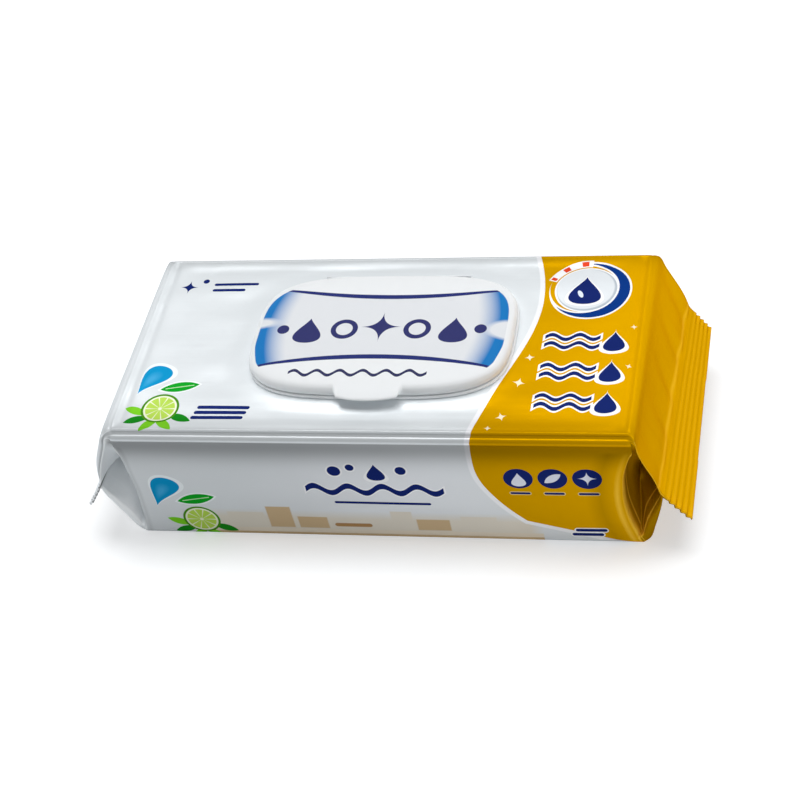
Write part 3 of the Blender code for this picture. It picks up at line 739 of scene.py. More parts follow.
def lid_surface(settings):
    """The lid as one closed surface of rings, from the middle of its top to the middle of its underside.

    The rings are superellipses that follow the section curves. In front, the rows of the edge section
    are blended with those of the tab section by how much of the tab there is at that x.
    """
    plain = even_path(LID_EDGE_SECTION, EDGE_ROWS)
    tab = even_path(TAB_SECTION, EDGE_ROWS)
    tab[:, 0] *= np.where(tab[:, 0] > 0, settings.tab_reach / TAB_REACH, 1.0)
    edge = np.array(flange_rings(plain))
    share = tab_share(edge[..., 0]) * (edge[..., 1] < 0)
    skirt_y = LID_CENTRE_Y - LID_HALF_WIDTH + SKIRT_INSET
    with_tab = edge.copy()
    with_tab[..., 1] = skirt_y - tab[:, None, 0]
    with_tab[..., 2] = HEIGHT + tab[:, None, 1]
    edge += share[..., None] * (with_tab - edge)
    top = flange_rings(even_path(LID_TOP_SECTION, TOP_ROWS)[:-1])
    inside = flange_rings(even_path(LID_INSIDE_SECTION, INSIDE_ROWS))
    sealing = opening_rings([*even_path(SEALING_SECTION, SEALING_ROWS), *CEILING_SECTION])
    rings = np.array(top + list(edge) + inside + sealing)
    count, columns = rings.shape[:2]
    middles = [[0.0, OPENING_CENTRE_Y, HEIGHT + height] for height in (LID_CROWN, LID_CEILING)]
    vertices = np.vstack([rings.reshape(-1, 3), middles])
    quads = grid_faces(count, columns)[:, ::-1]
    column = np.arange(columns)
    beside = (column + 1) % columns
    crown = np.column_stack([column, beside, np.full(columns, count * columns)])
    last = (count - 1) * columns
    base = np.column_stack([last + beside, last + column, np.full(columns, count * columns + 1)])
    return vertices, [*quads.tolist(), *crown.tolist(), *base.tolist()]


def hinge_strip():
    """The living hinge: a thin closed strip bent over the hinge line, from the frame's bead to the skirt.

    Its section is two arcs of a curve through four points, a film thickness apart, carried along X.
    """
    centre = np.array(HINGE_SECTION) + [HINGE_Y, 0.0]
    curve = smooth_path(shares(len(centre) - 1), centre, shares(HINGE_CURVE_POINTS - 1))
    tangent = unit(np.gradient(curve, axis=0))
    aside = HINGE_HALF_THICKNESS * np.column_stack([tangent[:, 1], -tangent[:, 0]])
    section = np.vstack([curve + aside, (curve - aside)[::-1]])
    x = np.linspace(-HINGE_HALF_LENGTH, HINGE_HALF_LENGTH, HINGE_STATIONS)
    rings = np.zeros((len(x), len(section), 3))
    rings[..., 0] = x[:, None]
    rings[..., 1] = section[:, 0]
    rings[..., 2] = HEIGHT + section[:, 1]
    count = len(section)
    quads = grid_faces(len(x), count)[:, ::-1].tolist()
    pairs = [(k, k + 1, count - 2 - k, count - 1 - k) for k in range(count // 2 - 1)]
    far = (len(x) - 1) * count
    ends = [list(p) for p in pairs] + [[far + k for k in reversed(p)] for p in pairs]
    return rings.reshape(-1, 3), quads + ends


# Shader nodes

BLACK = (0.0, 0.0, 0.0)
MOTIF_EDGE = 0.07              # over how many millimetres the edge of a motif fades
MIX_FACTOR, MIX_A, MIX_B, MIX_RESULT = 0, 6, 7, 2      # sockets of a Mix node of colours


def set_inputs(node, inputs):
    """Put in each input that is named a constant value, or a link from a socket, a Number or a Place."""
    for name, value in inputs.items():
        value = getattr(value, "socket", value)
        if isinstance(value, bpy.types.NodeSocket):
            node.id_data.links.new(value, node.inputs[name])
        else:
            node.inputs[name].default_value = value


def add_node(beside, kind, inputs, **properties):
    """A node in the tree of beside, which is another node, a socket, a Number or a Place."""
    node = getattr(beside, "socket", beside).id_data.nodes.new("ShaderNode" + kind)
    for name, value in properties.items():
        setattr(node, name, value)
    set_inputs(node, inputs)
    return node


class Number:
    """A number worked out by shader nodes; arithmetic on it adds Math nodes to its tree."""

    def __init__(self, socket):
        self.socket = socket

    def math(self, operation, *others, clamp=False):
        return maths(operation, self, *others, clamp=clamp)

    def at_least(self, other):
        return maths("MAXIMUM", self, other)

    def at_most(self, other):
        return maths("MINIMUM", self, other)

    def __add__(self, other):
        return maths("ADD", self, other)

    def __sub__(self, other):
        return maths("SUBTRACT", self, other)

    def __rsub__(self, other):
        return maths("SUBTRACT", other, self)

    def __mul__(self, other):
        return maths("MULTIPLY", self, other)

    def __truediv__(self, other):
        return maths("DIVIDE", self, other)

    def __abs__(self):
        return maths("ABSOLUTE", self)

    def __neg__(self):
        return self * -1.0


def maths(operation, *values, clamp=False):
    number = next(value for value in values if isinstance(value, Number))
    node = add_node(number, "Math", dict(enumerate(values)), operation=operation, use_clamp=clamp)
    return Number(node.outputs[0])


def union(*shapes):
    """Signed distance to any of several shapes."""
    return functools.reduce(Number.at_most, shapes)


def overlap(*shapes):
    """Signed distance to where several shapes overlap."""
    return functools.reduce(Number.at_least, shapes)


def hypotenuse(along, across):
    return (along * along + across * across).math("SQRT")


def inked(distance, soft=MOTIF_EDGE):
    """How much ink there is at a signed distance in millimetres."""
    return distance.math("MULTIPLY_ADD", -1.0 / soft, 0.5, clamp=True)


def stripe(distance, half_width, soft):
    """How much ink there is in a stripe along a line at a signed distance."""
    return inked(abs(distance) - half_width, soft)


class Place:
    """A point of the print in millimetres, with shapes as signed distances, negative inside."""

    def __init__(self, socket):
        self.socket = socket

    def split(self, count=2):
        return [Number(socket) for socket in add_node(self, "SeparateXYZ", {0: self}).outputs[:count]]

    def local(self, x, y, turn=0.0, size=(1.0, 1.0)):
        """The same point seen from (x, y), turned by some degrees and measured in units of size."""
        inputs = {"Vector": self, "Location": (x, y, 0.0), "Rotation": (0.0, 0.0, math.radians(turn)),
                  "Scale": (*size, 1.0)}
        return Place(add_node(self, "Mapping", inputs, vector_type="TEXTURE").outputs[0])

    def distance(self, x=0.0, y=0.0):
        node = add_node(self, "VectorMath", {0: self, 1: (x, y, 0.0)}, operation="DISTANCE")
        return Number(node.outputs["Value"])

    def polar(self, x, y):
        """Distance from (x, y), and the angle round it."""
        along, across = self.local(x, y).split()
        return self.distance(x, y), across.math("ARCTAN2", along)

    def disc(self, x, y, radius):
        return self.distance(x, y) - radius

    def ellipse(self, x, y, wide, high, turn=0.0):
        return (self.local(x, y, turn, (wide, high)).distance() - 1.0) * min(wide, high)

    def leaf(self, x, y, half_length, half_width, turn=0.0):
        """Where two equal discs overlap."""
        radius = (half_length ** 2 + half_width ** 2) / (2 * half_width)
        here = self.local(x, y, turn)
        offset = radius - half_width
        return overlap(here.distance(0.0, offset), here.distance(0.0, -offset)) - radius

    def drop(self, x, y, half_length, half_width, turn=0.0, bend=0.0):
        """A circle drawn out to a point along its +X: its width shrinks with a linear factor."""
        along, across = self.local(x, y, turn, (half_length, half_width)).split()
        if bend:
            across = across - along * along * bend
        across = across / (1.08 - along).at_least(0.02)
        return (hypotenuse(along, across) - 1.0) * half_width

    def bar(self, x, y, half_length, half_width, turn=0.0):
        """A straight stroke with round ends."""
        along, across = self.local(x, y, turn).split()
        over = (abs(along) - (half_length - half_width)).at_least(0.0)
        return hypotenuse(over, across) - half_width

    def box(self, x, y, half_length, half_width):
        along, across = self.local(x, y).split()
        return overlap(abs(along) - half_length, abs(across) - half_width)

    def wave(self, x, y, half_length, half_width, height, period):
        """A stroke along a sine curve."""
        along, across = self.local(x, y).split()
        line = (along * (2 * math.pi / period)).math("SINE") * height
        return overlap(abs(across - line) - half_width, abs(along) - half_length)

    def spark(self, x, y, radius, turn=0.0):
        """A star of four thin points: the sum of the square roots of |x| and |y| is constant."""
        along, across = self.local(x, y, turn, (radius, radius)).split()
        total = abs(along).math("SQRT") + abs(across).math("SQRT")
        return (total - 1.0) * (0.6 * radius)


def place_at(x, y):
    return Place(add_node(x, "CombineXYZ", {0: x, 1: y}).outputs[0])


def with_alpha(colour):
    """A colour for a socket, from six hexadecimal digits or three channels. A socket stays as it is."""
    if isinstance(colour, bpy.types.NodeSocket):
        return colour
    return (*(linear(colour) if isinstance(colour, str) else colour), 1.0)


def paint(ground, amount, ink):
    """Mix an ink over a ground. Either may be a colour or a socket."""
    inputs = {MIX_FACTOR: amount, MIX_A: with_alpha(ground), MIX_B: with_alpha(ink)}
    return add_node(amount, "Mix", inputs, data_type="RGBA").outputs[MIX_RESULT]


class Print:
    """A ground colour over which motifs are printed one after the other."""

    def __init__(self, place, ground):
        self.place = place
        self.colour = ground

    def tint(self, amount, ink):
        self.colour = paint(self.colour, amount, ink)

    def darken(self, amount):
        self.tint(amount, BLACK)

    def fill(self, distance, ink, soft=MOTIF_EDGE):
        self.tint(inked(distance, soft), ink)

    def outlined(self, distance, ink, border, border_ink):
        self.fill(distance - border, border_ink)
        self.fill(distance, ink)


def new_material(name):
    material = bpy.data.materials.new(name)
    material.use_nodes = True
    return material, material.node_tree.nodes["Principled BSDF"]


def noise(vector, scale, detail=2.0):
    inputs = {"Vector": vector, "Scale": scale, "Detail": detail}
    return Number(add_node(vector, "TexNoise", inputs).outputs[0])


def stretched(vector, factors):
    return add_node(vector, "VectorMath", {0: vector, 1: factors}, operation="MULTIPLY").outputs[0]


def object_place(shader, factor=1.0 / MM):
    """Object coordinates, in millimetres unless told otherwise."""
    return stretched(add_node(shader, "TexCoord", {}).outputs["Object"], (factor, factor, factor))


def add_bump(shader, height, distance, strength):
    inputs = {"Height": height, "Distance": distance, "Strength": strength}
    set_inputs(shader, {"Normal": add_node(shader, "Bump", inputs).outputs[0]})


# Print of the film, with light and shade painted on it along the long edges, in the tucks, on the folds and
# on the ends.
# x and t are millimetres along the pack and round its girth; height is over a long edge, so negative on the
# front and back.

BADGE_WHITE = (0.93, 0.94, 0.95)
DROP_WHITE = (0.95, 0.95, 0.96)
WAVE_WHITE = (0.92, 0.93, 0.95)
LEAF_WHITE = (0.88, 0.93, 0.95)
EDGE_WHITE = (0.90, 0.91, 0.94)
# painted light inside the silver tuck
TUCK_PAINTED_LIGHT = (0.93, 0.95, 0.96)
# ground colour of the painted highlights on folds, creases and seal ridges
PAINTED_HIGHLIGHT = "F6F8FA"


def gold_edge(x, t):
    """Signed distance to the gold field: an S-shaped edge across the pack, a straight lower edge on the
    front, and the whole end beyond the crease."""
    swing, half_period, bend = 9.7, 84.0, 0.0105
    below = (-15.0 - t).at_least(0.0)
    angle = (t + 12.0) * (math.pi / half_period)
    edge = 49.75 - angle.math("COSINE") * swing + below * below * bend
    slope = angle.math("SINE") * (swing * math.pi / half_period) - below * (2 * bend)
    across = (edge - x) / (slope * slope + 1.0).math("SQRT")
    lower = (-45.1 - (x - 54.6) * 0.312 - t) * 0.955
    return union(overlap(across, lower), 98.5 - x)


def print_gold(page, x, t, gold):
    """The gold field, a little deeper towards the end, with a pale line along its edge."""
    edge = gold_edge(x, t)
    page.fill(edge - 1.9, EDGE_WHITE, 0.5)
    deeper = [0.84 * channel for channel in gold]
    page.fill(edge, paint(deeper, inked(68.0 - x, 40.0), gold))


def print_badge(page, navy):
    """Round badge: a pale disc with a drop, a blue crescent and an arc of short red dashes."""
    place = page.place
    middle = (75.5, 78.5)
    page.fill(place.disc(*middle, 12.4), BADGE_WHITE)
    page.fill(place.disc(*middle, 11.7), "B9C2CB")
    page.fill(place.disc(75.0, 79.0, 11.2), "E3E8EC", 0.6)
    crescent = overlap(place.disc(77.0, 78.0, 15.2), -place.disc(74.2, 79.2, 13.8))
    page.outlined(crescent, "123A86", 0.8, BADGE_WHITE)
    radius, angle = place.polar(*middle)
    arc_radius = 14.6
    arc = overlap(abs(radius - arc_radius) - 1.15, (abs(angle - 2.15) - 0.62) * arc_radius)
    page.fill(arc - 0.5, BADGE_WHITE)
    dashes = (0.45 - (angle * 12.0).math("SINE")) * 0.9
    page.fill(overlap(arc, dashes), "E2492B")
    page.outlined(place.drop(75.0, 78.0, 7.4, 4.6, 90), navy, 0.7, DROP_WHITE)
    page.fill(place.ellipse(73.3, 76.0, 0.9, 2.0, 25), "DDE6F4")


def print_column(page, navy):
    """Three rows of white-edged navy waves, each with a drop beside it."""
    x, t = page.place.split()
    middle, half_row = 34.0, 8.0
    row = place_at(x, (t - middle).math("WRAP", half_row, -half_row))
    waves = [row.wave(73.0, offset, 10.5, 0.95, 1.3, 10.5) for offset in (2.2, -2.2)]
    drop = row.drop(89.0, -0.4, 5.2, 3.0, 90)
    page.outlined(overlap(union(*waves, drop), abs(t - middle) - 23.9), navy, 0.8, DROP_WHITE)


def print_sparks(page):
    for x, t, radius, turn in ((58.0, 41.0, 2.2, 12), (55.6, 27.8, 2.8, -8), (51.2, 10.5, 2.5, 20),
                               (47.2, 4.2, 1.6, 0), (95.5, 36.5, 1.6, -15), (95.6, 57.5, 1.6, 10)):
        page.fill(page.place.spark(x, t, radius, turn), "F6EBCB")


def print_fruit(page, x, t, size):
    """A slice of lime with leaves: rings of colour, ten wedges, and leaves round it."""
    place = page.place
    dark, light = "1E8A22", "7FD22E"
    for dx, dt, turn, ink in ((-8.5, -6.5, 200, dark), (9.5, -5.0, -20, dark), (-10.0, -1.5, 160, light),
                              (3.5, -8.6, -40, light), (-2.5, -8.8, 230, light)):
        page.fill(place.leaf(x + dx * size, t + dt * size, 5.4 * size, 2.0 * size, turn), ink)
    page.fill(place.disc(x, t, 8.0 * size), "4E8F1C")
    page.fill(place.disc(x, t, 7.0 * size), "EEF3D8")
    radius, angle = place.polar(x, t)
    wedges = (-abs((angle * 5.0).math("SINE")) + 0.22) * radius * 0.3
    page.fill(overlap(wedges, radius - 6.2 * size, 0.8 * size - radius), "B9DB5A", 0.25)


def print_leaves(page, settings, x, t, size):
    """A blue drop and a green leaf, each with a pale rim."""
    place = page.place
    drop = place.drop(x - 4.0 * size, t + 1.5 * size, 9.0 * size, 4.0 * size, 238, 0.35)
    page.outlined(drop, settings.blue, 0.7, LEAF_WHITE)
    page.fill(drop + 2.4 * size, "45A9DA", 1.8)
    leaf = (x + 9.5 * size, t - 2.5 * size)
    page.outlined(place.leaf(*leaf, 8.2 * size, 2.7 * size, 12), settings.green, 0.7, LEAF_WHITE)
    page.fill(place.bar(*leaf, 6.0 * size, 0.22 * size, 12), "BFE8B4")


def print_top_left(page, navy):
    place = page.place
    page.fill(place.spark(-88.0, 82.0, 4.2), navy)
    page.fill(place.disc(-81.5, 85.5, 1.3), navy)
    page.fill(place.bar(-68.0, 83.4, 9.5, 0.75), navy)
    page.fill(place.bar(-70.5, 80.0, 7.0, 0.75), navy)
    for row in range(3):
        page.fill(place.bar(-56.5 - 0.8 * row, 14.2 - 2.6 * row, 10.5, 0.85), navy)


def print_front(page, navy):
    """Front of the pack: a wave with bubbles on a pale glow, over a worktop."""
    place = page.place
    page.fill(place.ellipse(4.0, -27.0, 34.0, 15.0), "E9ECF0", 26.0)
    print_worktop(page)
    wave = place.wave(0.0, -29.5, 27.0, 1.5, 1.9, 13.5)
    bubbles = union(place.disc(-14.0, -19.5, 2.6), place.disc(-7.5, -17.5, 1.7),
                    place.drop(2.0, -20.0, 4.4, 2.6, 90), place.disc(12.0, -18.8, 2.1))
    page.outlined(union(wave, bubbles), navy, 0.7, WAVE_WHITE)
    page.fill(place.bar(2.0, -37.0, 19.0, 0.65), navy)


def print_worktop(page):
    """A pale worktop along the foot of the front, with plain boxes and a board on it."""
    place = page.place
    middle = -4.0
    cream, sand, wood = "E0DACD", "CDB48F", "B08A5E"
    page.fill(place.box(middle, -50.0, 64.0, 5.5), cream, 5.0)
    for x, t, half_length, half_height, ink in (
            (-55.0, -48.6, 7.5, 4.6, cream), (-41.0, -46.6, 5.0, 6.2, sand), (-28.0, -49.4, 6.0, 3.4, sand),
            (8.0, -47.4, 4.2, 5.6, cream), (20.0, -49.6, 6.5, 3.2, sand), (38.0, -48.6, 7.0, 4.4, cream)):
        page.fill(place.box(x, t, half_length, half_height), ink, 0.5)
    page.fill(place.bar(-12.0, -50.4, 7.5, 1.1), wood, 0.3)
    page.fill(place.box(middle, -54.6, 66.0, 1.3), "E4DAC8", 0.3)
    page.fill(place.box(middle, -57.6, 66.0, 1.9), sand, 0.3)


def print_signs(page, navy):
    """Three round signs on the gold of the front, each over a short line, and two strokes below it."""
    place = page.place
    x, t = place.split()
    middle, spacing, sign_t = 68.9, 12.8, -22.3
    sign = place_at((x - middle).math("WRAP", spacing / 2, -spacing / 2), t)
    inside = abs(x - middle) - 19.1
    page.fill(overlap(sign.ellipse(0.0, sign_t, 5.5, 5.2), inside), navy)
    page.outlined(overlap(sign.bar(0.0, -30.2, 3.8, 0.55), inside), navy, 0.4, "DCC68A")
    for shape in (place.drop(middle - spacing, -22.9, 3.5, 2.0, 90),
                  place.leaf(middle, sign_t, 3.9, 1.7, 35),
                  place.spark(middle + spacing, sign_t, 4.0)):
        page.fill(shape, "DDE2EE")
    strokes = union(place.bar(80.5, -50.9, 6.0, 0.8), place.bar(79.0, -53.3, 6.0, 0.8))
    page.outlined(strokes, navy, 0.5, WAVE_WHITE)


def into_tuck(x, height):
    """Millimetres along the film from the crease of a tuck, positive inside it, and how far a point is
    within the reach of that crease. The crease is bowed by a power of a sine, as the film is."""
    reach = (HEIGHT - TOP_RADIUS - LIP) / MM
    rise = (height + HEIGHT / MM).math("DIVIDE", reach, clamp=True)
    arched = (rise * math.pi).math("SINE").at_least(0.0).math("POWER", CREASE_ARCH)
    sag = inked(-x) * ((RIGHT_SAG - LEFT_SAG) / MM) + LEFT_SAG / MM
    return abs(x) + arched * sag - HALF_LENGTH / MM, inked(height - TUCK_TOP, 1.5)


def fold_height(inside):
    """Height of a gusset's fold, by the millimetres along the film from the crease. It climbs to half
    the pack's height; a cubic bends it as the panels' curves do."""
    share = inside * (MM / END_LENGTH)
    share = share - share * share * (1.0 - share) * 0.5
    start = FOLD[0][2]
    return (share * (HEIGHT / 2 - start) - (HEIGHT - start)) * (1 / MM)


def paint_edge_shade(page, inside, height):
    """Painted shade along a long edge: in a bell under the lower bead, in the channel, on that bead's
    shoulder and towards the edge on top. It runs on over the lip of a tuck."""
    down = (height + 7.0) * (1 / 7.6)
    below = (-(down * down)).math("EXPONENT") * inked(height + 4.5, 0.5) * 0.52
    groove = stripe(height, 1.25, 0.5) * 0.40
    shoulder = stripe(height + 2.3, 0.8, 0.6) * 0.30
    above = ((height - 2.0).at_least(0.0) * -0.18).math("EXPONENT") * inked(1.6 - height, 1.0) * 0.34
    in_lip = inked(TUCK_TOP - height, 1.5) * inked(inside - 5.0, 5.0)
    wanted = inked(inside - 0.5, 1.5).at_least(in_lip)
    page.darken((below + groove.at_least(shoulder) + above) * wanted)


def paint_tuck_light_and_shade(page, height, inside, near, gold_end):
    """Painted light and shade inside the tucks: painted shade in the gold one, painted light in the silver
    one but for painted shade in its upper corner, and a band of painted shade on the wall before each
    crease. inside and near are what into_tuck says."""
    silver_end = 1.0 - gold_end
    within = inked(0.9 - inside, 1.2)
    # painted shade inside the gold tuck, then painted light inside the silver one, then bands of painted
    # shade
    page.darken(within * near * gold_end * 0.48)
    page.tint(inked(3.2 - inside, 3.6) * inked(height + 2.5, 2.0) * silver_end * 0.70, TUCK_PAINTED_LIGHT)
    page.darken(stripe(inside + 1.9, 0.6, 1.6) * near * silver_end * 0.16)
    page.darken(stripe(height + 8.5, 3.0, 3.0) * inked(inside - 7.0, 5.0) * within * silver_end * 0.22)
    page.darken(stripe(inside + 8.5, 2.5, 6.0) * near * gold_end * 0.26)


def paint_fold_highlights_and_shade(page, height, inside, near, gold_end):
    """Painted highlights along the rim of a tuck, a painted sheen beside it on the wall and painted
    highlights along the folds inside, and the free edges of the end panel in painted light and shade."""
    # painted highlights: on the rim, a painted sheen on the wall beside it, and along the folds inside
    rim = stripe(inside - 0.2, 0.5, 0.5) * 0.8
    fading = ((height + 6.0) * (-1 / 26.0)).at_most(1.0).at_least(0.0)
    sheen = stripe(inside + 2.1, 0.6, 1.9) * fading * gold_end * 0.85
    fold = fold_height(inside)
    folds = union(abs(height - fold), abs(inside - 1.8) + 0.05)
    foot = 55.5
    for share in (0.12, 0.28):          # creases that fan out from the foot, below the gusset's fold
        folds = union(folds, abs(height + foot - (fold + foot) * share))
    folds = inked(folds - 0.2, 0.35) * inked(1.0 - inside, 0.8) * (gold_end * 0.5 + 0.35)
    # colour of the painted highlights: near white at the silver end, light gold at the gold end
    pale = paint(PAINTED_HIGHLIGHT, gold_end, "FFCF45")
    page.tint((rim + sheen + folds) * near, pale)
    beyond = inked(3.5 - inside, 3.0)
    page.tint(stripe(height + 0.4, 1.3, 0.8) * beyond * gold_end * 0.7, pale)
    page.darken(stripe(height - 3.2, 1.0, 0.8) * beyond * gold_end * 0.35)
    page.darken(stripe(height, 1.1, 0.8) * beyond * (1.0 - gold_end) * 0.35)


def paint_end_light_and_shade(page, x, height, gold_end):
    """Painted shade and a painted highlight line across the gold end panel, and painted highlights and
    painted shade along the ridges pressed into the seals.
    """
    out = abs(x)
    fin, ridge = 131.5, 2.8
    panel_ink = inked(4.0 - height, 3.0) * gold_end
    front_half = inked(page.place.split()[1] - 50.0, 60.0)
    page.darken(front_half * stripe(out - 114.0, 13.0, 3.0) * panel_ink * 0.10)
    # colour of the painted highlights: near white at the silver end, light gold at the gold end
    pale = paint(PAINTED_HIGHLIGHT, gold_end, "FFC935")
    page.tint(stripe(out - 128.6, 0.8, 1.6) * panel_ink * 0.5, pale)
    # painted highlights on one side of each seal ridge and painted shade on the other
    ridges = ((out - fin) * (2 * math.pi / ridge)).math("SINE") * inked(fin + 1.0 - out, 1.0)
    page.tint(ridges.at_least(0.0) * (0.30 - gold_end * 0.16), pale)
    page.darken((-ridges).at_least(0.0) * (0.60 - gold_end * 0.50))


# Materials

def film_material(settings):
    material, shader = new_material("printed_film")
    uv = add_node(shader, "UVMap", {}, uv_map="film_print").outputs[0]
    place = Place(stretched(uv, (1 / MM, 1 / MM, 0.0)))
    x, t = place.split()
    middle = HALF_WIDTH / MM
    height = middle - abs(t - middle)
    inside, near = into_tuck(x, height)
    gold_end = inked(-x)
    navy = settings.navy
    page = Print(place, settings.silver)
    print_front(page, navy)
    print_gold(page, x, t, settings.gold)
    print_badge(page, navy)
    print_column(page, navy)
    print_sparks(page)
    print_top_left(page, navy)
    print_signs(page, navy)
    print_leaves(page, settings, -86.0, 27.5, 0.95)
    print_fruit(page, -82.0, 13.5, 0.95)
    print_leaves(page, settings, -83.0, -34.5, 1.0)
    print_fruit(page, -74.0, -49.0, 0.95)
    # painted shade along the long edges
    paint_edge_shade(page, inside, height)
    # painted light and shade in the tucks
    paint_tuck_light_and_shade(page, height, inside, near, gold_end)
    # painted highlights and shade along the folds and free edges
    paint_fold_highlights_and_shade(page, height, inside, near, gold_end)
    # painted light and shade on the end panel and the seal ridges
    paint_end_light_and_shade(page, x, height, gold_end)
    on_wall = inked(height + 4.5, 0.5) * inked(inside - 0.5, 1.5)
    page.darken(inked(x - 10.0, 80.0) * on_wall * 0.17)     # painted shade on the walls, deeper away from the gold end
    set_inputs(shader, {"Base Color": page.colour, "Specular Tint": page.colour, "Metallic": 0.30,
                        "Roughness": 0.36, "Specular IOR Level": 0.0})
    streaks = noise(stretched(uv, (14.0, 260.0, 1.0)), 1.0, 3.0)
    dents = noise(object_place(shader, 1.0), 60.0)
    add_bump(shader, streaks * 0.25 + dents, 0.0010, 0.35)
    return material


def lid_material(settings):
    """White plastic with a banner printed on its top: blue ends, two lines, a row of signs and a ripple."""
    material, shader = new_material("white_plastic_lid")
    whole = object_place(shader)
    place = Place(stretched(whole, (1.0, 1.0, 0.0))).local(0.0, -1.1)
    x, y = place.split()
    on_top = 65.2 - Place(whole).split(3)[2]
    page = Print(place, settings.plastic)
    upper = (x - 4.0) * (1 / 48.0)
    upper = upper * upper * 5.3 + 18.6
    lower = (x + 1.0) * (1 / 46.0)
    lower = -14.3 - lower * lower * 4.9
    reach = y - 3.0
    end = abs(x) + reach * reach * 0.0085 - 49.6
    banner = overlap(y - upper, lower - y, end, on_top)
    page.fill(banner, "E3E6EA")
    fade = (end * (1 / 9.0) + 1.4).at_most(1.0).at_least(0.0)
    notch = union(place.ellipse(-50.5, 4.6, 8.5, 2.6), place.ellipse(51.5, 0.4, 10.0, 5.2))
    clear = 1.0 - inked(notch, 1.6)
    page.tint(fade.math("POWER", 1.4) * clear * inked(banner), settings.banner)
    weight = 1.15 - x * x * 0.00030
    rules = union(abs(y - upper) - weight, abs(y - lower) - weight)
    page.fill(overlap(rules, abs(x) - 46.2, on_top), settings.rule)
    folded = place_at(abs(x), y).local(0.0, 0.6, 0.0, (1.2, 1.2))
    signs = union(folded.spark(0.0, 1.0, 7.0), abs(folded.distance(12.0, 0.0) - 3.6) - 0.85,
                  folded.drop(24.0, -0.6, 5.6, 3.4, 90), folded.disc(32.5, 0.0, 2.0))
    page.fill(overlap(signs, on_top), "262A66")
    page.fill(overlap(place.wave(-5.0, -22.8, 27.0, 0.75, 1.25, 9.0), on_top), "262A55")
    finish_plastic(shader, page.colour)
    return material


def finish_plastic(shader, colour):
    """Moulded polypropylene: satin, with a very fine eroded texture and a slow unevenness."""
    set_inputs(shader, {"Base Color": colour, "Roughness": 0.42, "Specular IOR Level": 0.15,
                        "Subsurface Weight": 0.25, "Subsurface Radius": (1.0, 1.0, 1.0),
                        "Subsurface Scale": 0.0015})
    here = object_place(shader, 1.0)
    add_bump(shader, noise(here, 2600.0) * 0.05 + noise(here, 90.0, 1.0), 0.0004, 0.25)


def plastic_material(settings):
    material, shader = new_material("white_plastic_frame")
    clouds = noise(object_place(shader, 1.0), 45.0)
    finish_plastic(shader, paint(settings.plastic, clouds * 0.12, "DDE2E6"))
    return material


def seal_material(film):
    """Peel seal: pale blue label film with a deeper rim and a ribbed pull tab."""
    material, shader = new_material("label_film")
    place = Place(object_place(shader)).local(0.0, OPENING_CENTRE_Y / MM)
    x, y = place.split()
    page = Print(place, "CFE3F0")
    rim = ((x * (1 / 31.0)).math("POWER", 4.0) + (y * (1 / 13.0)).math("POWER", 4.0) - 1.0) * 3.0
    page.fill(-rim, "9CC8E2")
    page.fill(abs(rim) - 0.25, "F4F8FA")
    page.fill(32.0 - x, film.blue)
    ribs = (x * 4.5).math("SINE") * 0.5 + 0.5
    page.tint(ribs * inked(32.5 - x) * 0.3, (0.9, 0.95, 1.0))
    for offset in (-12.0, 0.0, 12.0):
        page.fill(place.drop(offset, 0.0, 4.0, 2.4, 90), "7DB7DA")
    set_inputs(shader, {"Base Color": page.colour, "Roughness": 0.25, "Coat Weight": 0.3,
                        "Coat Roughness": 0.15})
    add_bump(shader, noise(object_place(shader, 1.0), 120.0), 0.0004, 0.3)
    return material


# Stage

# The camera of the photo: its place and its axes
CAMERA_PLACE = (0.184791, -0.508696, 0.551871)
CAMERA_RIGHT = (0.9697272, 0.1734899, -0.1717920)
CAMERA_DOWN = (0.0051070, -0.7172986, -0.6961956)
CAMERA_AHEAD = (-0.2443127, 0.6742323, -0.6964533)
CAMERA_LENS = 85.5
SENSOR = 36.0
FLOOR_REACH = 6.0
FLOOR_DROP = 0.0002            # how far the floor lies under the pack
WHITE = (1.0, 1.0, 1.0, 1.0)


def white_to_camera(shader, strength):
    """A strength that counts for camera, glossy and transmission rays alone."""
    rays = add_node(shader, "LightPath", {}).outputs
    seen = Number(rays["Is Camera Ray"]).at_least(Number(rays["Is Glossy Ray"]))
    return seen.at_least(Number(rays["Is Transmission Ray"])) * strength


def floor_material(settings):
    """A plain floor that looks lighter far off, where the lamps don't reach."""
    material, shader = new_material("studio_floor")
    far = (Place(object_place(shader, 1.0)).distance() - 0.7).math("MULTIPLY", 0.8, clamp=True)
    set_inputs(shader, {"Base Color": (*settings.floor, 1.0), "Roughness": 0.9, "Emission Color": WHITE,
                        "Emission Strength": white_to_camera(shader, far * 0.45 + 0.45)})
    return material


def studio_world(settings):
    world = bpy.data.worlds.new("studio")
    world.use_nodes = True
    background = world.node_tree.nodes["Background"]
    shown = white_to_camera(background, 1.0 - settings.sky) + settings.sky
    set_inputs(background, {"Color": WHITE, "Strength": shown})
    bpy.context.scene.world = world


def area_light(name, place, target, size, watts):
    data = bpy.data.lights.new(name, "AREA")
    data.shape = "RECTANGLE"
    data.size, data.size_y = size
    data.energy = watts
    lamp = bpy.data.objects.new(name, data)
    back = np.array(place) - np.array(target)
    lamp.rotation_euler = Vector(back).to_track_quat("Z", "Y").to_euler()
    lamp.location = place
    bpy.context.scene.collection.objects.link(lamp)


def photo_camera():
    data = bpy.data.cameras.new("photo_camera")
    data.lens = CAMERA_LENS
    data.sensor_width = SENSOR
    camera = bpy.data.objects.new("photo_camera", data)
    pose = np.eye(4)
    pose[:3, :3] = np.array([CAMERA_RIGHT, -np.array(CAMERA_DOWN), -np.array(CAMERA_AHEAD)]).T
    pose[:3, 3] = CAMERA_PLACE
    camera.matrix_world = Matrix(pose.tolist())
    bpy.context.scene.collection.objects.link(camera)
    return camera


# Operators

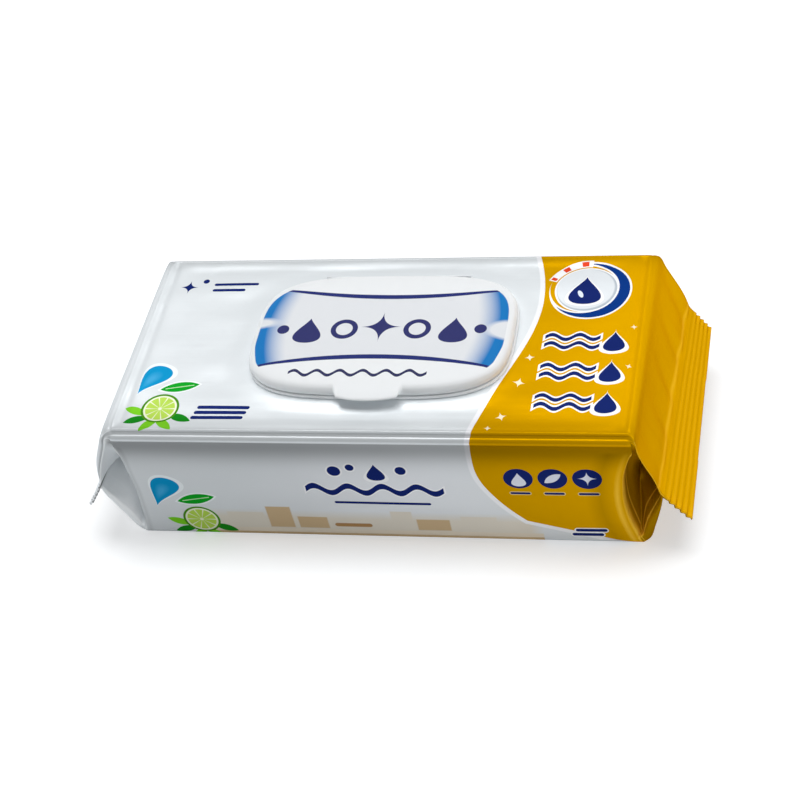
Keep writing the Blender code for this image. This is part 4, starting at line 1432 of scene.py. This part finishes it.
class BuildFilmPack(bpy.types.Operator):
    """Build the printed film bag in place of its CAD node"""
    bl_idname = "wipes_pack.film"
    bl_label = "Film bag"

    def execute(self, context):
        settings = context.scene.wipes_pack.film
        vertices, faces, prints = film_surface(settings)
        film = new_object("printed_film_bag", vertices, faces, film_material(settings))
        film.data.uv_layers.new(name="film_print").data.foreach_set("uv", prints.ravel())
        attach(film, "pack")
        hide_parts("film_pack")
        return {"FINISHED"}


class BuildFlipLid(bpy.types.Operator):
    """Build the flip-top lid in place of its CAD node"""
    bl_idname = "wipes_pack.lid"
    bl_label = "Flip-top lid"

    def execute(self, context):
        settings = context.scene.wipes_pack.lid
        lid = new_object("moulded_flip_lid", *lid_surface(settings), lid_material(settings))
        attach(lid, "lid")
        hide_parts("flip_lid")
        return {"FINISHED"}


class BuildLivingHinge(bpy.types.Operator):
    """Build the thin strip that joins the lid to its frame, bent between them"""
    bl_idname = "wipes_pack.hinge"
    bl_label = "Living hinge"

    def execute(self, context):
        material = plastic_material(context.scene.wipes_pack.lid)
        strip = new_object("living_hinge", *hinge_strip(), material)
        strip.data.set_sharp_from_angle(angle=math.radians(40))
        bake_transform(strip)
        return {"FINISHED"}


class FinishFrameAndSeal(bpy.types.Operator):
    """Give the CAD lid frame and the peel seal their materials"""
    bl_idname = "wipes_pack.frame"
    bl_label = "Lid frame and peel seal"

    def execute(self, context):
        settings = context.scene.wipes_pack
        for node, material in (("lid_frame", plastic_material(settings.lid)),
                               ("peel_seal", seal_material(settings.film))):
            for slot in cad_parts[node].material_slots:
                slot.material = material
        return {"FINISHED"}


class BuildStage(bpy.types.Operator):
    """Set up the floor, the studio light and the camera"""
    bl_idname = "wipes_pack.stage"
    bl_label = "Stage"

    def execute(self, context):
        settings = context.scene.wipes_pack.stage
        corners = [(x * FLOOR_REACH, y * FLOOR_REACH, -FLOOR_DROP) for x, y
                   in ((-1, -1), (1, -1), (1, 1), (-1, 1))]
        floor = new_object("floor", corners, [(0, 1, 2, 3)], floor_material(settings))
        floor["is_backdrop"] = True
        studio_world(settings)
        area_light("key_light", (0.05, 0.25, 1.25), (0, 0, 0.03), (1.3, 0.5), settings.key_power)
        area_light("fill_light", (0.75, -0.95, 0.4), (0.05, 0, 0.03), (0.8, 0.5), settings.fill_power)
        area_light("side_light", (1.2, 0.1, 0.6), (0.1, 0, 0.03), (0.6, 0.6), settings.side_power)
        area_light("left_light", (-1.2, -0.3, 0.22), (-0.1, 0, 0.03), (0.6, 0.5), settings.left_power)
        context.scene.camera = photo_camera()
        context.scene.view_settings.view_transform = "Standard"
        return {"FINISHED"}


class WipesPackPanel(bpy.types.Panel):
    """Sizes and colours of the pack, and a button for each piece"""
    bl_idname = "VIEW3D_PT_wipes_pack"
    bl_label = "Wet Wipes Pack"
    bl_space_type = "VIEW_3D"
    bl_region_type = "UI"
    bl_category = "Wipes"

    def draw(self, context):
        settings = context.scene.wipes_pack
        for operator in OPERATORS:
            self.layout.operator(operator.bl_idname)
        for group in (settings.film, settings.lid, settings.stage):
            box = self.layout.box()
            for name in group.__annotations__:
                box.prop(group, name)


GROUPS = (WipesPackFilm, WipesPackLid, WipesPackStage, WipesPackSettings)
OPERATORS = (BuildFilmPack, BuildFlipLid, BuildLivingHinge, FinishFrameAndSeal, BuildStage)


def register():
    for cls in (*GROUPS, *OPERATORS, WipesPackPanel):
        bpy.utils.register_class(cls)
    bpy.types.Scene.wipes_pack = PointerProperty(type=WipesPackSettings)


def unregister():
    del bpy.types.Scene.wipes_pack
    for cls in reversed((*GROUPS, *OPERATORS, WipesPackPanel)):
        bpy.utils.unregister_class(cls)


def main():
    register()
    bpy.ops.wipes_pack.film()
    bpy.ops.wipes_pack.lid()
    bpy.ops.wipes_pack.hinge()
    bpy.ops.wipes_pack.frame()
    bpy.ops.wipes_pack.stage()
    sizes = {"cad_box": CAD_BOX, "visual_box": [list(corner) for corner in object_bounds()]}
    sizes = {name: [list(map(float, corner)) for corner in box] for name, box in sizes.items()}


if __name__ == "__main__":
    main()
